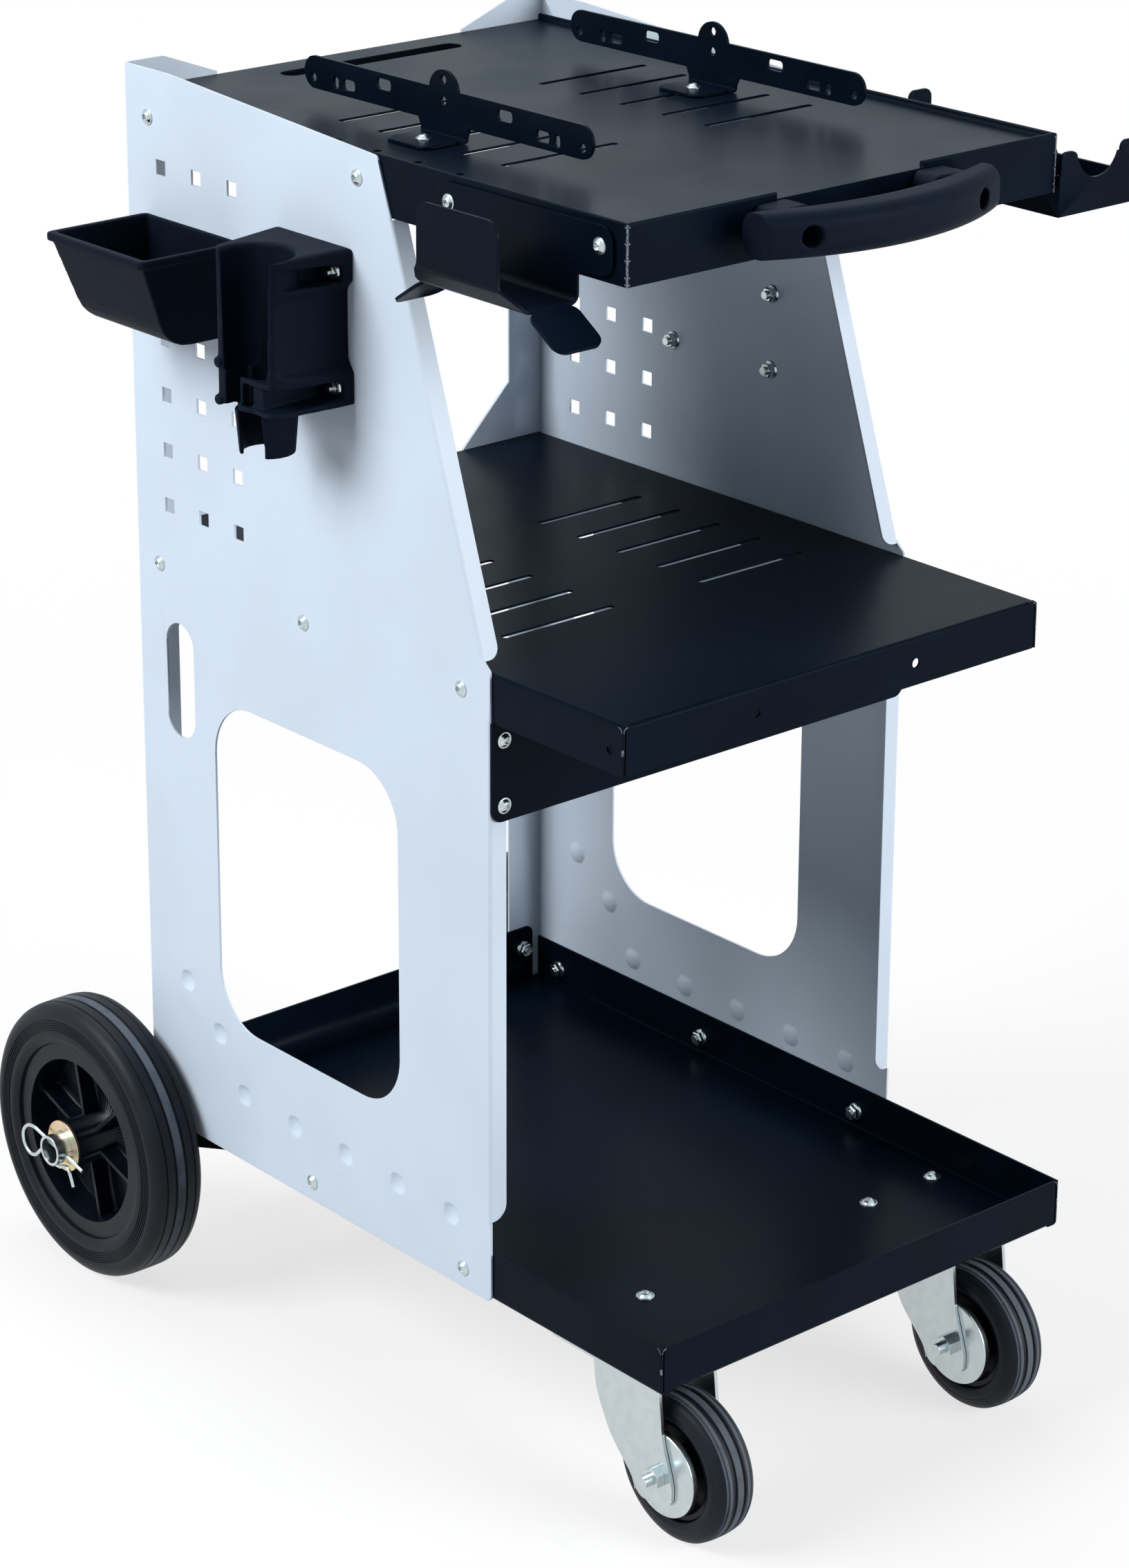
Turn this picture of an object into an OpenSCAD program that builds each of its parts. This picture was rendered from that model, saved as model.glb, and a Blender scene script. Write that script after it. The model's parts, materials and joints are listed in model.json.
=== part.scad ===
// Workshop trolley for a welding set: two folded side panels carry two shelves and a bottom
// tray, on two large rear wheels and two swivel castors.
// Millimetres. +X is the right side, +Y the rear, +Z up. The origin is on the floor, under
// the middle of the whole trolley. Inside the modules, X counts from the middle between the
// side panels and Y from the panels' rear faces, so the front of the trolley has negative Y.

/* [Overall] */
// Width over the outer faces of the two side panels
body_w = 355.2; // [335:0.2:420]
// Height of the top shelf's surface over the floor
top_z = 850; // [800:1:950]
// Height of the middle shelf's surface over the floor
mid_z = 550.6; // [500:0.2:600]
// Height of the tray's underside over the floor
tray_z = 125; // [115:1:140]
// Gap left by the paint between sheets that are bolted together
seat_gap = 0.1; // [0.05:0.05:0.3]

/* [Side panels] */
// Sheet thickness of the side panels
panel_t = 1.5; // [1:0.1:2.5]
// Depth of a side panel
panel_d = 367; // [350:1:400]
// Rise of a panel's rear top edge over the top shelf
panel_rise = 18; // [12:1:40]
// Length of the level part of the top edge
panel_level = 47.5; // [30:0.5:80]
// Distance from the rear face to the top of the sloping front edge
slope_top_d = 262; // [255:1:290]
// Rise of that point over the top shelf
slope_top_rise = 3; // [1:0.5:10]
// Distance from the rear face to the foot of the sloping front edge
slope_foot_d = 361; // [350:0.5:365]
// Rise of that foot over the middle shelf
slope_foot_rise = 6.4; // [3:0.2:15]
// How far a panel reaches below the tray
panel_drop = 1.5; // [0:0.5:5]
// Outer radius of the bends
bend_r = 2.5; // [1.5:0.1:4]
// Width of the inward flange at the front edge
front_flange = 13; // [8:0.5:20]
// Height over the tray at which the front flange ends
front_flange_rise = 55; // [30:1:100]
// Width of the inward flange at the rear edge
rear_flange = 31; // [26:0.5:40]
// Width of the rear flange beside the shelves
gusset_w = 73.6; // [60:0.2:100]
// Diameter of the dimples
dimple_w = 16.5; // [10:0.5:22]
// Depth of the dimples
dimple_h = 3; // [1.5:0.1:5]
// Distance between the dimples of the straight row
dimple_step = 54.8; // [40:0.2:60]
// Side of the square holes
square_hole = 10; // [6:0.5:14]
// Pitch of the square holes
square_step = 38; // [30:0.5:40]
// Distance of the highest square holes below the top shelf
square_drop = 45; // [42:0.5:60]
// Distance from the rear face to the first column of square holes
square_d = 38.5; // [36:0.5:60]
// Length of the carrying slot
carry_slot_l = 81; // [60:1:90]
// Width of the carrying slot
carry_slot_w = 30.5; // [20:0.5:32]
// Depth of the window in the panel
window_d = 193.5; // [150:0.5:200]
// Height of the window
window_h = 234.7; // [180:0.1:260]
// Distance from the rear face to the middle of the window
window_mid_d = 179.3; // [175:0.1:190]
// Height of the window's middle over the tray
window_rise = 213.4; // [205:0.1:230]
// Radius of the window's corners
window_r = 40; // [20:1:60]

/* [Shelves and tray] */
// Sheet thickness of the shelves and the tray
shelf_t = 1.5; // [1:0.1:2.5]
// Depth of the two shelves
shelf_d = 484.9; // [450:0.1:500]
// Height of the top shelf's rim over its surface
rim_h = 4; // [2.5:0.1:8]
// Height of the top shelf's outer walls
top_wall = 37.5; // [34:0.5:45]
// Height of the middle shelf's outer walls
mid_wall = 31.6; // [30:0.2:40]
// Height of the tray's outer walls
tray_wall = 32; // [28:0.5:45]
// Height of the tray's rear wall
tray_rear_wall = 43; // [40:0.5:60]
// Depth of the tray
tray_d = 525.4; // [520:0.1:560]
// Length of the adjusting slots
slot_l = 92; // [60:1:100]
// Width of the adjusting slots
slot_w = 5.6; // [5.4:0.1:8]
// Distance from the middle to the centre of an adjusting slot
slot_x = 82.5; // [70:0.5:90]
// Distance between the rows of slots
slot_step = 39.4; // [30:0.1:42]
// Distance from the rear face to the middle row of slots
slot_mid_d = 241.5; // [230:0.5:260]
// Length of the strap slot
strap_l = 150; // [100:1:200]
// Width of the strap slot
strap_w = 16; // [10:0.5:20]
// Half width of the rim's gap behind the handle
rim_gap_x = 60; // [30:1:62]
// Height of the apron plate under the middle shelf
apron_h = 66; // [60:1:90]
// Thickness of the apron plate
apron_t = 2; // [1.5:0.1:3]

/* [Screws] */
// Diameter of the main screws' shanks
screw_d = 6; // [5:0.5:6]
// Play of a screw in its hole
screw_play = 0.6; // [0.4:0.1:1]
// Diameter of the main screws' heads
head_d = 10.5; // [9:0.5:12]
// Height of the main screws' heads
head_h = 3.3; // [2.5:0.1:3.3]
// Distance from the panel's rear face to the rearmost screws
screw_rear_d = 25.5; // [20:0.5:32]
// Distance from the rear face to the middle screws of the lower rows
screw_mid_d = 181.5; // [170:0.5:190]
// Distance from the rear face to the foremost screws of the lower rows
screw_front_d = 339.5; // [330:0.5:345]
// Distance from the rear face to the foremost screws of the top row
screw_top_d = 242.5; // [230:0.5:245]

/* [Rear wheels] */
// Diameter of the rear wheels
wheel_d = 200; // [180:1:220]
// Width of the rear tyres
wheel_w = 44; // [40:0.5:50]
// Gap between the panel and the rear tyre
wheel_gap = 3.6; // [3.5:0.1:8]
// Diameter of the rim's seat for the tyre
wheel_rim_d = 141.6; // [130:0.2:150]
// Diameter of the rim's dished middle
wheel_dish_d = 113; // [90:1:116]
// Diameter of the hub
wheel_hub_d = 34; // [30:0.5:40]
// Length of the hub
wheel_hub_l = 49; // [46:0.5:55]
// Number of ribs in the rim
rib_count = 6; // [4:1:8]
// Distance of the axle behind the panels' rear faces
axle_y = 33; // [30:1:45]
// Outer diameter of the axle tube
axle_d = 22; // [20:0.5:24]
// Wall of the axle tube
axle_wall = 2; // [1.5:0.1:3]
// Length of the axle tube
axle_l = 490; // [488:1:510]
// Running clearance round axles and pins
run_gap = 0.05; // [0.02:0.01:0.1]
// Diameter of the spring clips' wire
clip_wire = 3; // [2:0.1:3.5]
// Tilt of the spring clips
clip_tilt = 12; // [0:1:30]

/* [Castors] */
// Diameter of the castor wheels
castor_d = 100; // [90:1:104]
// Width of the castor tyres
castor_w = 32; // [26:0.5:34]
// Trail of the castor wheel's axle behind its swivel axis
castor_trail = 33.5; // [30:0.5:36]
// Distance from the middle to a castor's swivel axis
castor_x = 130; // [110:1:131]
// Distance from the rear face to the castors' swivel axes
castor_y = 468; // [460:1:475]
// Pitch of the castor screws across the trolley
castor_bolt_x = 60; // [55:1:64]
// Pitch of the castor screws along the trolley
castor_bolt_y = 80; // [75:1:86]
// Thickness of the castor's top plate
castor_plate_t = 3; // [2:0.1:4]
// Sheet thickness of the castor fork
fork_t = 2.5; // [2:0.1:3]
// Inner width of the castor fork
fork_w = 44; // [43.5:0.1:50]
// Diameter of the castor's axle bushing
bushing_d = 12; // [11:0.5:14]
// Diameter of the castor's swivel pin
king_d = 12; // [10:0.5:14]

/* [Handle] */
// Length of the handle
handle_l = 190; // [170:1:220]
// Height of the handle
handle_h = 28; // [24:0.5:32]
// Distance of the grip's front from the shelf, in the middle
handle_reach = 54.5; // [50:0.5:70]
// Finger gap between the shelf and the grip, in the middle
handle_gap = 26.5; // [24:0.5:40]
// Radius of the grip's front
handle_front_r = 200; // [180:1:240]
// Radius of the grip's rear
handle_rear_r = 252; // [230:1:300]
// Distance from the middle to a handle screw
handle_screw_x = 70; // [66:0.5:78]
// Drop of the handle's middle below the shelf's surface
handle_drop = 13; // [10:0.5:16]

/* [Holders] */
// Sheet thickness of the brackets
bracket_t = 2; // [1.5:0.1:3]
// Distance from the rear face to the middle of the hose saddle
saddle_d = 398; // [390:1:402]
// Length of the hose saddle's back plate
saddle_plate_l = 157; // [150:1:160]
// Length of the hose saddle's floor
saddle_floor_l = 95; // [85:1:100]
// Length of the hose saddle's outer plate
saddle_outer_l = 73; // [60:1:80]
// Distance of the outer plate from the shelf's wall
saddle_reach = 52; // [45:0.5:70]
// Length of the sloping tongues
tongue_l = 34; // [25:1:40]
// Slope of the tongues
tongue_tilt = 33; // [20:1:40]
// Length of the cable bracket's side plate
fork_plate_l = 186; // [170:1:190]
// Distance of the cable bracket's forked plates from the shelf's wall
fork_reach = 75; // [70:0.5:90]
// Radius of the forked plates' notches
fork_notch_r = 19.5; // [12:0.5:20]
// Height of the forked plates
fork_h = 40.5; // [36:0.5:50]
// Length of the bin
bin_l = 105; // [95:1:107]
// Distance from the rear face to the bin's middle
bin_mid_d = 73.5; // [72:0.5:75]
// Reach of the bin's rim from the panel
bin_reach = 79.4; // [70:0.2:90]
// Depth of the bin
bin_h = 62; // [50:0.5:70]
// Wall of the bin and of the holder's spout
mould_t = 2.5; // [2:0.1:3]
// Width of the torch holder on the panel
holder_w = 76; // [70:0.5:80]
// Height of the torch holder's body
holder_h = 99; // [95:0.5:105]
// Distance of the torch cup's axis from the panel
cup_reach = 52; // [48:0.5:56]
// Radius of the torch cup
cup_r = 25; // [20:0.5:25.5]
// Distance from the rear face to the torch cup's axis
cup_d = 206.5; // [200:0.5:210]
// Drop of the torch holder's top below the top shelf
holder_drop = 59; // [50:0.5:70]

/* [Support brackets] */
// Length of a support bracket's bar
bar_l = 278; // [240:1:300]
// Height of the bar
bar_h = 21; // [18:0.5:24]
// Rise of the bar's lower edge over the shelf
bar_rise = 9.5; // [8:0.5:15]
// Distance of the left bar from the middle
left_bar_x = 108; // [60:1:108]
// Distance of the right bar from the middle
right_bar_x = 116; // [60:1:142]
// Width of the foot
foot_w = 40; // [30:1:50]
// Length of the foot
foot_l = 34; // [30:1:40]
// Distance from the bar to the foot's screw
foot_screw = 17; // [15:0.5:20]
// Diameter of the foot's screw
foot_screw_d = 5; // [4:0.5:5]
// Running gap under the foot
foot_gap = 0.3; // [0.1:0.05:0.5]

/* [Hidden] */
$fn = 64;

panel_colour = "#b9c6d2";
coat_colour = "#22252b";
mould_colour = "#2a2f3c";
zinc_colour = "#b8bcc0";
rubber_colour = "#26282b";
washer_colour = "#c2b280";

eps = 0.01;
half_w = body_w / 2;
inner_x = half_w - panel_t;
shelf_x = inner_x - seat_gap;
shelf_rear = panel_t + seat_gap;
shelf_front = shelf_rear + shelf_d;
tray_front = shelf_rear + tray_d;
panel_z = tray_z - panel_drop;
panel_top = top_z + panel_rise;
slope_top_z = top_z + slope_top_rise;
slope_foot_z = mid_z + slope_foot_rise;
slope_tilt = atan2(slope_foot_d - slope_top_d, slope_top_z - slope_foot_z);
// The flange of the slope ends under the top shelf's wall
slope_flange_l = (top_z - top_wall + rim_h - 1 - slope_foot_z) / cos(slope_tilt);

hole_r = (screw_d + screw_play) / 2;
top_screw_drop = 13.7;
mid_screw_lift = 15;
tray_screw_rise = 12.4;
top_screw_z = top_z - top_screw_drop;
mid_screw_z = mid_z - mid_wall + mid_screw_lift;
tray_screw_z = tray_z + tray_screw_rise;
square_z = top_z - square_drop;
spots_top = [[screw_rear_d, top_screw_z], [screw_top_d, top_screw_z]];
spots_low = [for (z = [mid_screw_z, tray_screw_z], d = [screw_rear_d, screw_mid_d, screw_front_d]) [d, z]];
panel_spots = concat(spots_top, spots_low);
accessory_front_d = 238;
accessory_rear_d = 141;
accessory_drop = 149;
accessory_low_drop = 201.5;
accessory_spots = [
    [accessory_front_d, top_z - accessory_drop],
    [accessory_rear_d, top_z - accessory_low_drop],
    [accessory_front_d, top_z - accessory_low_drop]
];
apron_screw_drop = 12.5;
apron_spots = [mid_z - mid_wall - apron_screw_drop, mid_z - mid_wall - apron_h + apron_screw_drop - 2];
apron_x = half_w - front_flange / 2 - 3;
rear_bolt_side = 18.6;
rear_bolt_rise = 26;
rear_bolt_x = half_w - rear_bolt_side;
rear_bolt_z = tray_z + rear_bolt_rise;

wheel_r = wheel_d / 2;
wheel_x = half_w + wheel_gap;
hub_x = wheel_x + 0.8;
axle_r = axle_d / 2;
carrier_x = half_w - 20;
carrier_t = 3;
washer_t = 2;
clip_x = axle_l / 2 - 7;

handle_z = top_z - handle_drop;
holder_top = top_z - holder_drop;
holder_low = holder_top - holder_h;
holder_front_d = cup_d + holder_w / 2 - 6.5;
holder_rear_d = holder_front_d - holder_w;
holder_bolt_d = holder_front_d - 8.7;
holder_bolt_z = [holder_top - 14.5, holder_low + 10.7];
holder_reach = cup_reach + 8.4;
collar_h = 21;
lug_h = 2.5;
small_hole_r = (foot_screw_d + screw_play) / 2;
bin_top = square_z - square_step + 6;
bin_hook_d = [square_d, square_d + 2 * square_step];
saddle_z = top_z - 14.5;
fork_low = top_z - 49;
fork_front_d = shelf_front + 4;

left_reach = half_w + seat_gap + max(bin_reach, holder_reach + lug_h);
right_reach = shelf_x + seat_gap + fork_reach + eps + head_h;
mid_x = (right_reach - left_reach) / 2;
front_y = castor_y + castor_trail + castor_d / 2;
rear_y = axle_y + wheel_r;
mid_y = (rear_y - front_y) / 2;

function unit(v) = v / norm(v);
// Points of the arc of radius r that rounds corner b between a and c
function corner(a, b, c, r) =
    r == 0 ? [b] :
    let (
        u = unit(a - b),
        v = unit(c - b),
        half = acos(u * v) / 2,
        centre = b + unit(u + v) * r / sin(half),
        from = b + u * r / tan(half) - centre,
        to = b + v * r / tan(half) - centre,
        turn = 180 - 2 * half,
        n = max(2, ceil(turn / 15))
    )
    [for (i = [0:n]) centre + (from * sin(turn * (1 - i / n)) + to * sin(turn * i / n)) / sin(turn)];
function flat(p) = [p[0], p[1]];
// Closed outline from points [x, y, corner radius]
function soft(p) = [
    for (i = [0:len(p) - 1])
        each corner(flat(p[(i + len(p) - 1) % len(p)]), flat(p[i]), flat(p[(i + 1) % len(p)]), p[i][2])
];
// Open path from points [x, y, bend radius]
function bent(p) = [
    for (i = [0:len(p) - 1])
        each (i == 0 || i == len(p) - 1 ? [flat(p[i])] : corner(flat(p[i - 1]), flat(p[i]), flat(p[i + 1]), p[i][2]))
];
function left_of(v) = [-v[1], v[0]];
// The path moved sideways by t
function beside(p, t) = [
    for (i = [0:len(p) - 1])
        let (
            n1 = left_of(unit(i == 0 ? p[1] - p[0] : p[i] - p[i - 1])),
            n2 = left_of(unit(i == len(p) - 1 ? p[i] - p[i - 1] : p[i + 1] - p[i])),
            m = unit(n1 + n2)
        )
        p[i] + m * t / (m * n1)
];
// Outline of a sheet of thickness t that follows a bent path
function sheet(p, t) = let (q = beside(p, t)) concat(p, [for (i = [len(q) - 1:-1:0]) q[i]]);

// Sheets that stand in the three main planes: the first coordinates are those named
module in_yz(x, t) translate([x, 0, 0]) rotate([90, 0, 90]) linear_extrude(t) children();
module in_xz(y, t) translate([0, y + t, 0]) rotate([90, 0, 0]) linear_extrude(t) children();
module in_xy(z, t) translate([0, 0, z]) linear_extrude(t) children();
module both() {
    children();
    mirror([1, 0, 0]) children();
}
// Everything is drawn from the panels' rear faces and moved to the trolley's middle here
module placed() translate([-mid_x, -mid_y, 0]) children();

module rounded_rect(w, h, r) {
    square([w - 2 * r, h], center = true);
    square([w, h - 2 * r], center = true);
    for (x = [-1, 1], y = [-1, 1])
        translate([x * (w / 2 - r), y * (h / 2 - r)]) circle(r);
}
module slot(l, w) {
    square([l - w, w], center = true);
    for (s = [-1, 1])
        translate([s * (l - w) / 2, 0]) circle(d = w);
}
// Cuts the edge at the origin, along +Z, to the radius r; the sheet lies at -X and -Y
module round_edge(l, r) difference() {
    translate([-r, -r, -1]) cube([r + 1, r + 1, l + 2]);
    translate([-r, -r, -2]) cylinder(r = r, h = l + 4);
}

// Button head screw, its head above Z 0 and its shank below
module screw(l, d = screw_d, head = head_d, h = head_h) {
    dome = (head * head / 4 + h * h) / (2 * h);
    difference() {
        intersection() {
            cylinder(d = head, h = h);
            translate([0, 0, h - dome - 0.2]) sphere(dome + 0.2);
        }
        translate([0, 0, h * 0.45]) cylinder(r = d * 0.36, h = h, $fn = 6);
    }
    translate([0, 0, -l]) cylinder(d = d, h = l + eps);
}
module small_screw(l) screw(l, foot_screw_d, 9.5, 2.8);
// Flange nut that stands on Z 0
module nut(d = screw_d) difference() {
    union() {
        cylinder(r = d * 1.08, h = d * 0.2);
        translate([0, 0, d * 0.2 - eps]) cylinder(r = d * 0.92, h = nut_height(d) - d * 0.2 + eps, $fn = 6);
    }
    translate([0, 0, -1]) cylinder(d = d + 0.2, h = d * 2);
}
function nut_height(d) = d * 0.85;
// Turns what stands on Z 0 to point to +X, -X, +Y or -Y
module to_right() rotate([0, 90, 0]) children();
module to_left() rotate([0, -90, 0]) children();
module to_rear() rotate([-90, 0, 0]) children();
module to_front() rotate([90, 0, 0]) children();

// Side panels ---------------------------------------------------------------------------

module panel_outline() polygon(soft([
    [0, panel_z, 0],
    [-panel_d, panel_z, 4],
    [-panel_d, slope_foot_z - 5, 3],
    [-slope_foot_d, slope_foot_z, 3],
    [-slope_top_d, slope_top_z, 4],
    [-panel_level, panel_top, 0],
    [0, panel_top, 0]
]));

carry_slot_d = 45.6;
carry_slot_rise = 331;
module panel_holes() {
    for (i = [0:2], j = [0:6])
        translate([-square_d - i * square_step, square_z - j * square_step])
            square(square_hole, center = true);
    translate([-carry_slot_d, tray_z + carry_slot_rise]) rotate(90) slot(carry_slot_l, carry_slot_w);
    translate([-window_mid_d, tray_z + window_rise]) rounded_rect(window_d, window_h, window_r);
    for (s = panel_spots)
        translate([-s[0], s[1]]) circle(hole_r);
}

dimple_r = (dimple_w * dimple_w / 4 + dimple_h * dimple_h) / (2 * dimple_h);
dimple_row_d = 162.7;
dimple_arc_r = 157.5;
dimple_arc_from = 119.4;
dimple_arc_step = 16.5;
dimple_spots = concat(
    [for (i = [0:2])
        let (a = dimple_arc_from + i * dimple_arc_step)
        [-axle_y - dimple_arc_r * cos(a), wheel_r + dimple_arc_r * sin(a)]],
    [for (i = [0:3]) [dimple_row_d + i * dimple_step, tray_z + 46]]
);
module dimples(r) for (s = dimple_spots)
    translate([half_w + dimple_r - dimple_h, -s[0], s[1]]) sphere(r);

module rear_flange_outline() polygon([
    [half_w, panel_z],
    [half_w - rear_flange, panel_z],
    [half_w - rear_flange, mid_z - mid_wall - gusset_w + rear_flange],
    [half_w - gusset_w, mid_z - mid_wall],
    [half_w - gusset_w, mid_z],
    [half_w - rear_flange, mid_z + gusset_w - rear_flange],
    [half_w - rear_flange, top_z - top_wall - gusset_w + rear_flange],
    [half_w - gusset_w, top_z - top_wall],
    [half_w - gusset_w, top_z + 2],
    [half_w - rear_flange, panel_top],
    [half_w, panel_top]
]);

// The right panel; its flanges point to the middle
module panel() difference() {
    union() {
        in_yz(inner_x, panel_t) difference() {
            panel_outline();
            panel_holes();
        }
        intersection() {
            dimples(dimple_r + panel_t);
            translate([inner_x - 10, -panel_d, panel_z]) cube([10 + panel_t / 2, panel_d, 200]);
        }
        in_xz(-panel_t, panel_t) rear_flange_outline();
        translate([half_w, -slope_foot_d, slope_foot_z]) rotate([-slope_tilt, 0, 0])
            in_xz(0, panel_t) polygon(soft([
                [0, 0, 0],
                [0, slope_flange_l, 0],
                [-front_flange, slope_flange_l, 3],
                [-front_flange, 0, 8]
            ]));
        in_xz(-panel_d, panel_t) polygon(soft([
            [half_w, mid_z - mid_wall, 0],
            [half_w - front_flange, mid_z - mid_wall, 0],
            [half_w - front_flange, tray_z + front_flange_rise, 10],
            [half_w, tray_z + front_flange_rise, 0]
        ]));
    }
    dimples(dimple_r);
    translate([half_w, 0, panel_z - 1]) round_edge(panel_top - panel_z + 2, bend_r);
    translate([half_w, -panel_d, tray_z + front_flange_rise]) mirror([0, 1, 0])
        round_edge(mid_z - mid_wall - tray_z - front_flange_rise, bend_r);
    translate([half_w, -slope_foot_d, slope_foot_z]) rotate([-slope_tilt, 0, 0]) mirror([0, 1, 0])
        translate([0, 0, 3]) round_edge(slope_flange_l - 3, bend_r);
    for (z = apron_spots)
        translate([apron_x, -panel_d - 1, z]) to_rear() cylinder(r = hole_r, h = 4);
    translate([rear_bolt_x, 1, rear_bolt_z]) to_front() cylinder(r = hole_r, h = 4);
}

module right_side_panel() color(panel_colour) placed() difference() {
    panel();
    for (s = accessory_spots)
        translate([inner_x - 1, -s[0], s[1]]) to_right() cylinder(r = hole_r, h = 4);
}

module left_side_panel() color(panel_colour) placed() difference() {
    mirror([1, 0, 0]) panel();
    for (z = holder_bolt_z)
        translate([-inner_x + 1, -holder_bolt_d, z]) to_left() cylinder(r = small_hole_r, h = 4);
}

// Shelves and tray ----------------------------------------------------------------------

module shelf_slots() {
    for (s = [-1, 1], row = [-2:2])
        translate([s * slot_x, -slot_mid_d - row * slot_step]) slot(slot_l, slot_w);
}
module screw_holes_x(z, spots) for (s = spots)
    if (s[1] == z)
        translate([-half_w, -s[0], z]) to_right() cylinder(r = hole_r, h = body_w);

// Cross-section of a rim at the right edge x: a wall down to low, hemmed over a rim at top
module hem_profile(x, low, top) polygon(soft([
    [x, low, 0],
    [x, top, shelf_t * 0.9],
    [x - 2 * shelf_t, top, shelf_t * 0.9],
    [x - 2 * shelf_t, top - rim_h - shelf_t, 0],
    [x - shelf_t, top - rim_h - shelf_t, 0],
    [x - shelf_t, low, 0]
]));
// Cross-section of a plain bend at the right edge x, from a level sheet at top to a wall
module bend_profile(x, low, top) polygon(sheet(bent([
    [x, low, 0],
    [x, top, bend_r],
    [x - 8, top, 0]
]), shelf_t));

side_hole_x = 161;
side_hole_r = 3;
module top_shelf() color(coat_colour) placed() difference() {
    union() {
        in_xy(top_z - shelf_t, shelf_t) difference() {
            translate([-shelf_x + 1, -shelf_front + 1]) square([2 * shelf_x - 2, shelf_d - 1]);
            shelf_slots();
            translate([2, -shelf_rear - strap_w / 2 - 22]) slot(strap_l, strap_w);
            for (i = [-2:2])
                translate([-side_hole_x, -slot_mid_d - i * slot_step]) circle(side_hole_r);
        }
        both()
            in_xz(-shelf_front, shelf_d) hem_profile(shelf_x, top_z - top_wall + rim_h, top_z + rim_h);
        rotate([0, 0, -90])
            in_xz(-shelf_x + shelf_t, 2 * (shelf_x - shelf_t))
                hem_profile(shelf_front, top_z - top_wall + rim_h, top_z + rim_h);
        translate([-shelf_x + shelf_t, -shelf_rear - shelf_t, top_z - top_wall + rim_h])
            cube([2 * (shelf_x - shelf_t), shelf_t, top_wall - rim_h - eps]);
    }
    translate([-rim_gap_x, -shelf_front - 1, top_z]) cube([2 * rim_gap_x, 10, rim_h + 1]);
    screw_holes_x(top_screw_z, panel_spots);
    for (s = [-1, 1])
        translate([s * handle_screw_x, -shelf_front - 1, handle_z]) to_rear() cylinder(r = hole_r, h = 4);
    for (d = saddle_screw_d)
        translate([-shelf_x - 1, -d, saddle_screw_z]) to_right() cylinder(r = hole_r, h = 4);
    for (d = fork_screw_d)
        translate([shelf_x + 1, -d, fork_screw_z]) to_left() cylinder(r = hole_r, h = 4);
}

front_hole_x = 68;
front_hole_r = 3.2;
front_hole_z = mid_z - 17;
module middle_shelf() color(coat_colour) placed() difference() {
    union() {
        in_xy(mid_z - shelf_t, shelf_t) difference() {
            translate([-shelf_x + 6, -shelf_front + 6]) square([2 * shelf_x - 12, shelf_d - 6]);
            shelf_slots();
        }
        both()
            in_xz(-shelf_front, shelf_d) bend_profile(shelf_x, mid_z - mid_wall, mid_z);
        rotate([0, 0, -90])
            in_xz(-shelf_x + bend_r, 2 * (shelf_x - bend_r)) bend_profile(shelf_front, mid_z - mid_wall, mid_z);
        translate([-shelf_x + shelf_t, -shelf_rear - shelf_t, mid_z - mid_wall])
            cube([2 * (shelf_x - shelf_t), shelf_t, mid_wall - eps]);
    }
    screw_holes_x(mid_screw_z, panel_spots);
    for (s = [-1, 1])
        translate([s * front_hole_x, -shelf_front - 1, front_hole_z]) to_rear() cylinder(r = front_hole_r, h = 4);
    translate([-shelf_x - 1, -shelf_front + 11, front_hole_z])
        to_right() cylinder(r = front_hole_r, h = 2 * shelf_x + 2);
}

module bottom_tray() color(coat_colour) placed() difference() {
    union() {
        in_xy(tray_z, shelf_t)
            translate([-shelf_x + 6, -tray_front + 6]) square([2 * shelf_x - 12, tray_d - 6]);
        both()
            in_xz(-tray_front, tray_d) tray_bend(shelf_x);
        rotate([0, 0, -90])
            in_xz(-shelf_x + bend_r, 2 * (shelf_x - bend_r)) tray_bend(tray_front);
        in_xz(-shelf_rear - shelf_t, shelf_t) polygon(soft([
            [-shelf_x + 8, tray_z, 0],
            [shelf_x - 8, tray_z, 0],
            [shelf_x - 8, tray_z + tray_rear_wall, 6],
            [-shelf_x + 8, tray_z + tray_rear_wall, 6]
        ]));
    }
    screw_holes_x(tray_screw_z, panel_spots);
    for (s = [-1, 1])
        translate([s * rear_bolt_x, 1, rear_bolt_z]) to_front() cylinder(r = hole_r, h = 10);
    for (s = castor_spots)
        translate([s[0], s[1], tray_z - 1]) cylinder(r = hole_r, h = 4);
}
module tray_bend(x) polygon(sheet(bent([
    [x - 8, tray_z, 0],
    [x, tray_z, bend_r],
    [x, tray_z + tray_wall, 0]
]), shelf_t));

module apron_plate() color(coat_colour) placed() difference() {
    in_xz(-panel_d - seat_gap - apron_t, apron_t) polygon(soft([
        [-half_w, mid_z - mid_wall - apron_h, 8],
        [half_w, mid_z - mid_wall - apron_h, 8],
        [half_w, mid_z - mid_wall - seat_gap, 1],
        [-half_w, mid_z - mid_wall - seat_gap, 1]
    ]));
    for (s = [-1, 1], z = apron_spots)
        translate([s * apron_x, -panel_d - 4, z]) to_rear() cylinder(r = hole_r, h = 5);
}

// Fasteners of the frame ----------------------------------------------------------------

frame_stack = panel_t + seat_gap + shelf_t;
module panel_screws() color(zinc_colour) placed() both() for (s = panel_spots)
    translate([half_w + eps, -s[0], s[1]]) to_right() screw(frame_stack + nut_height(screw_d) + 1.5);
module panel_nuts() color(zinc_colour) placed() both() for (s = panel_spots)
    translate([half_w - frame_stack - eps, -s[0], s[1]]) to_left() nut();

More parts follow.
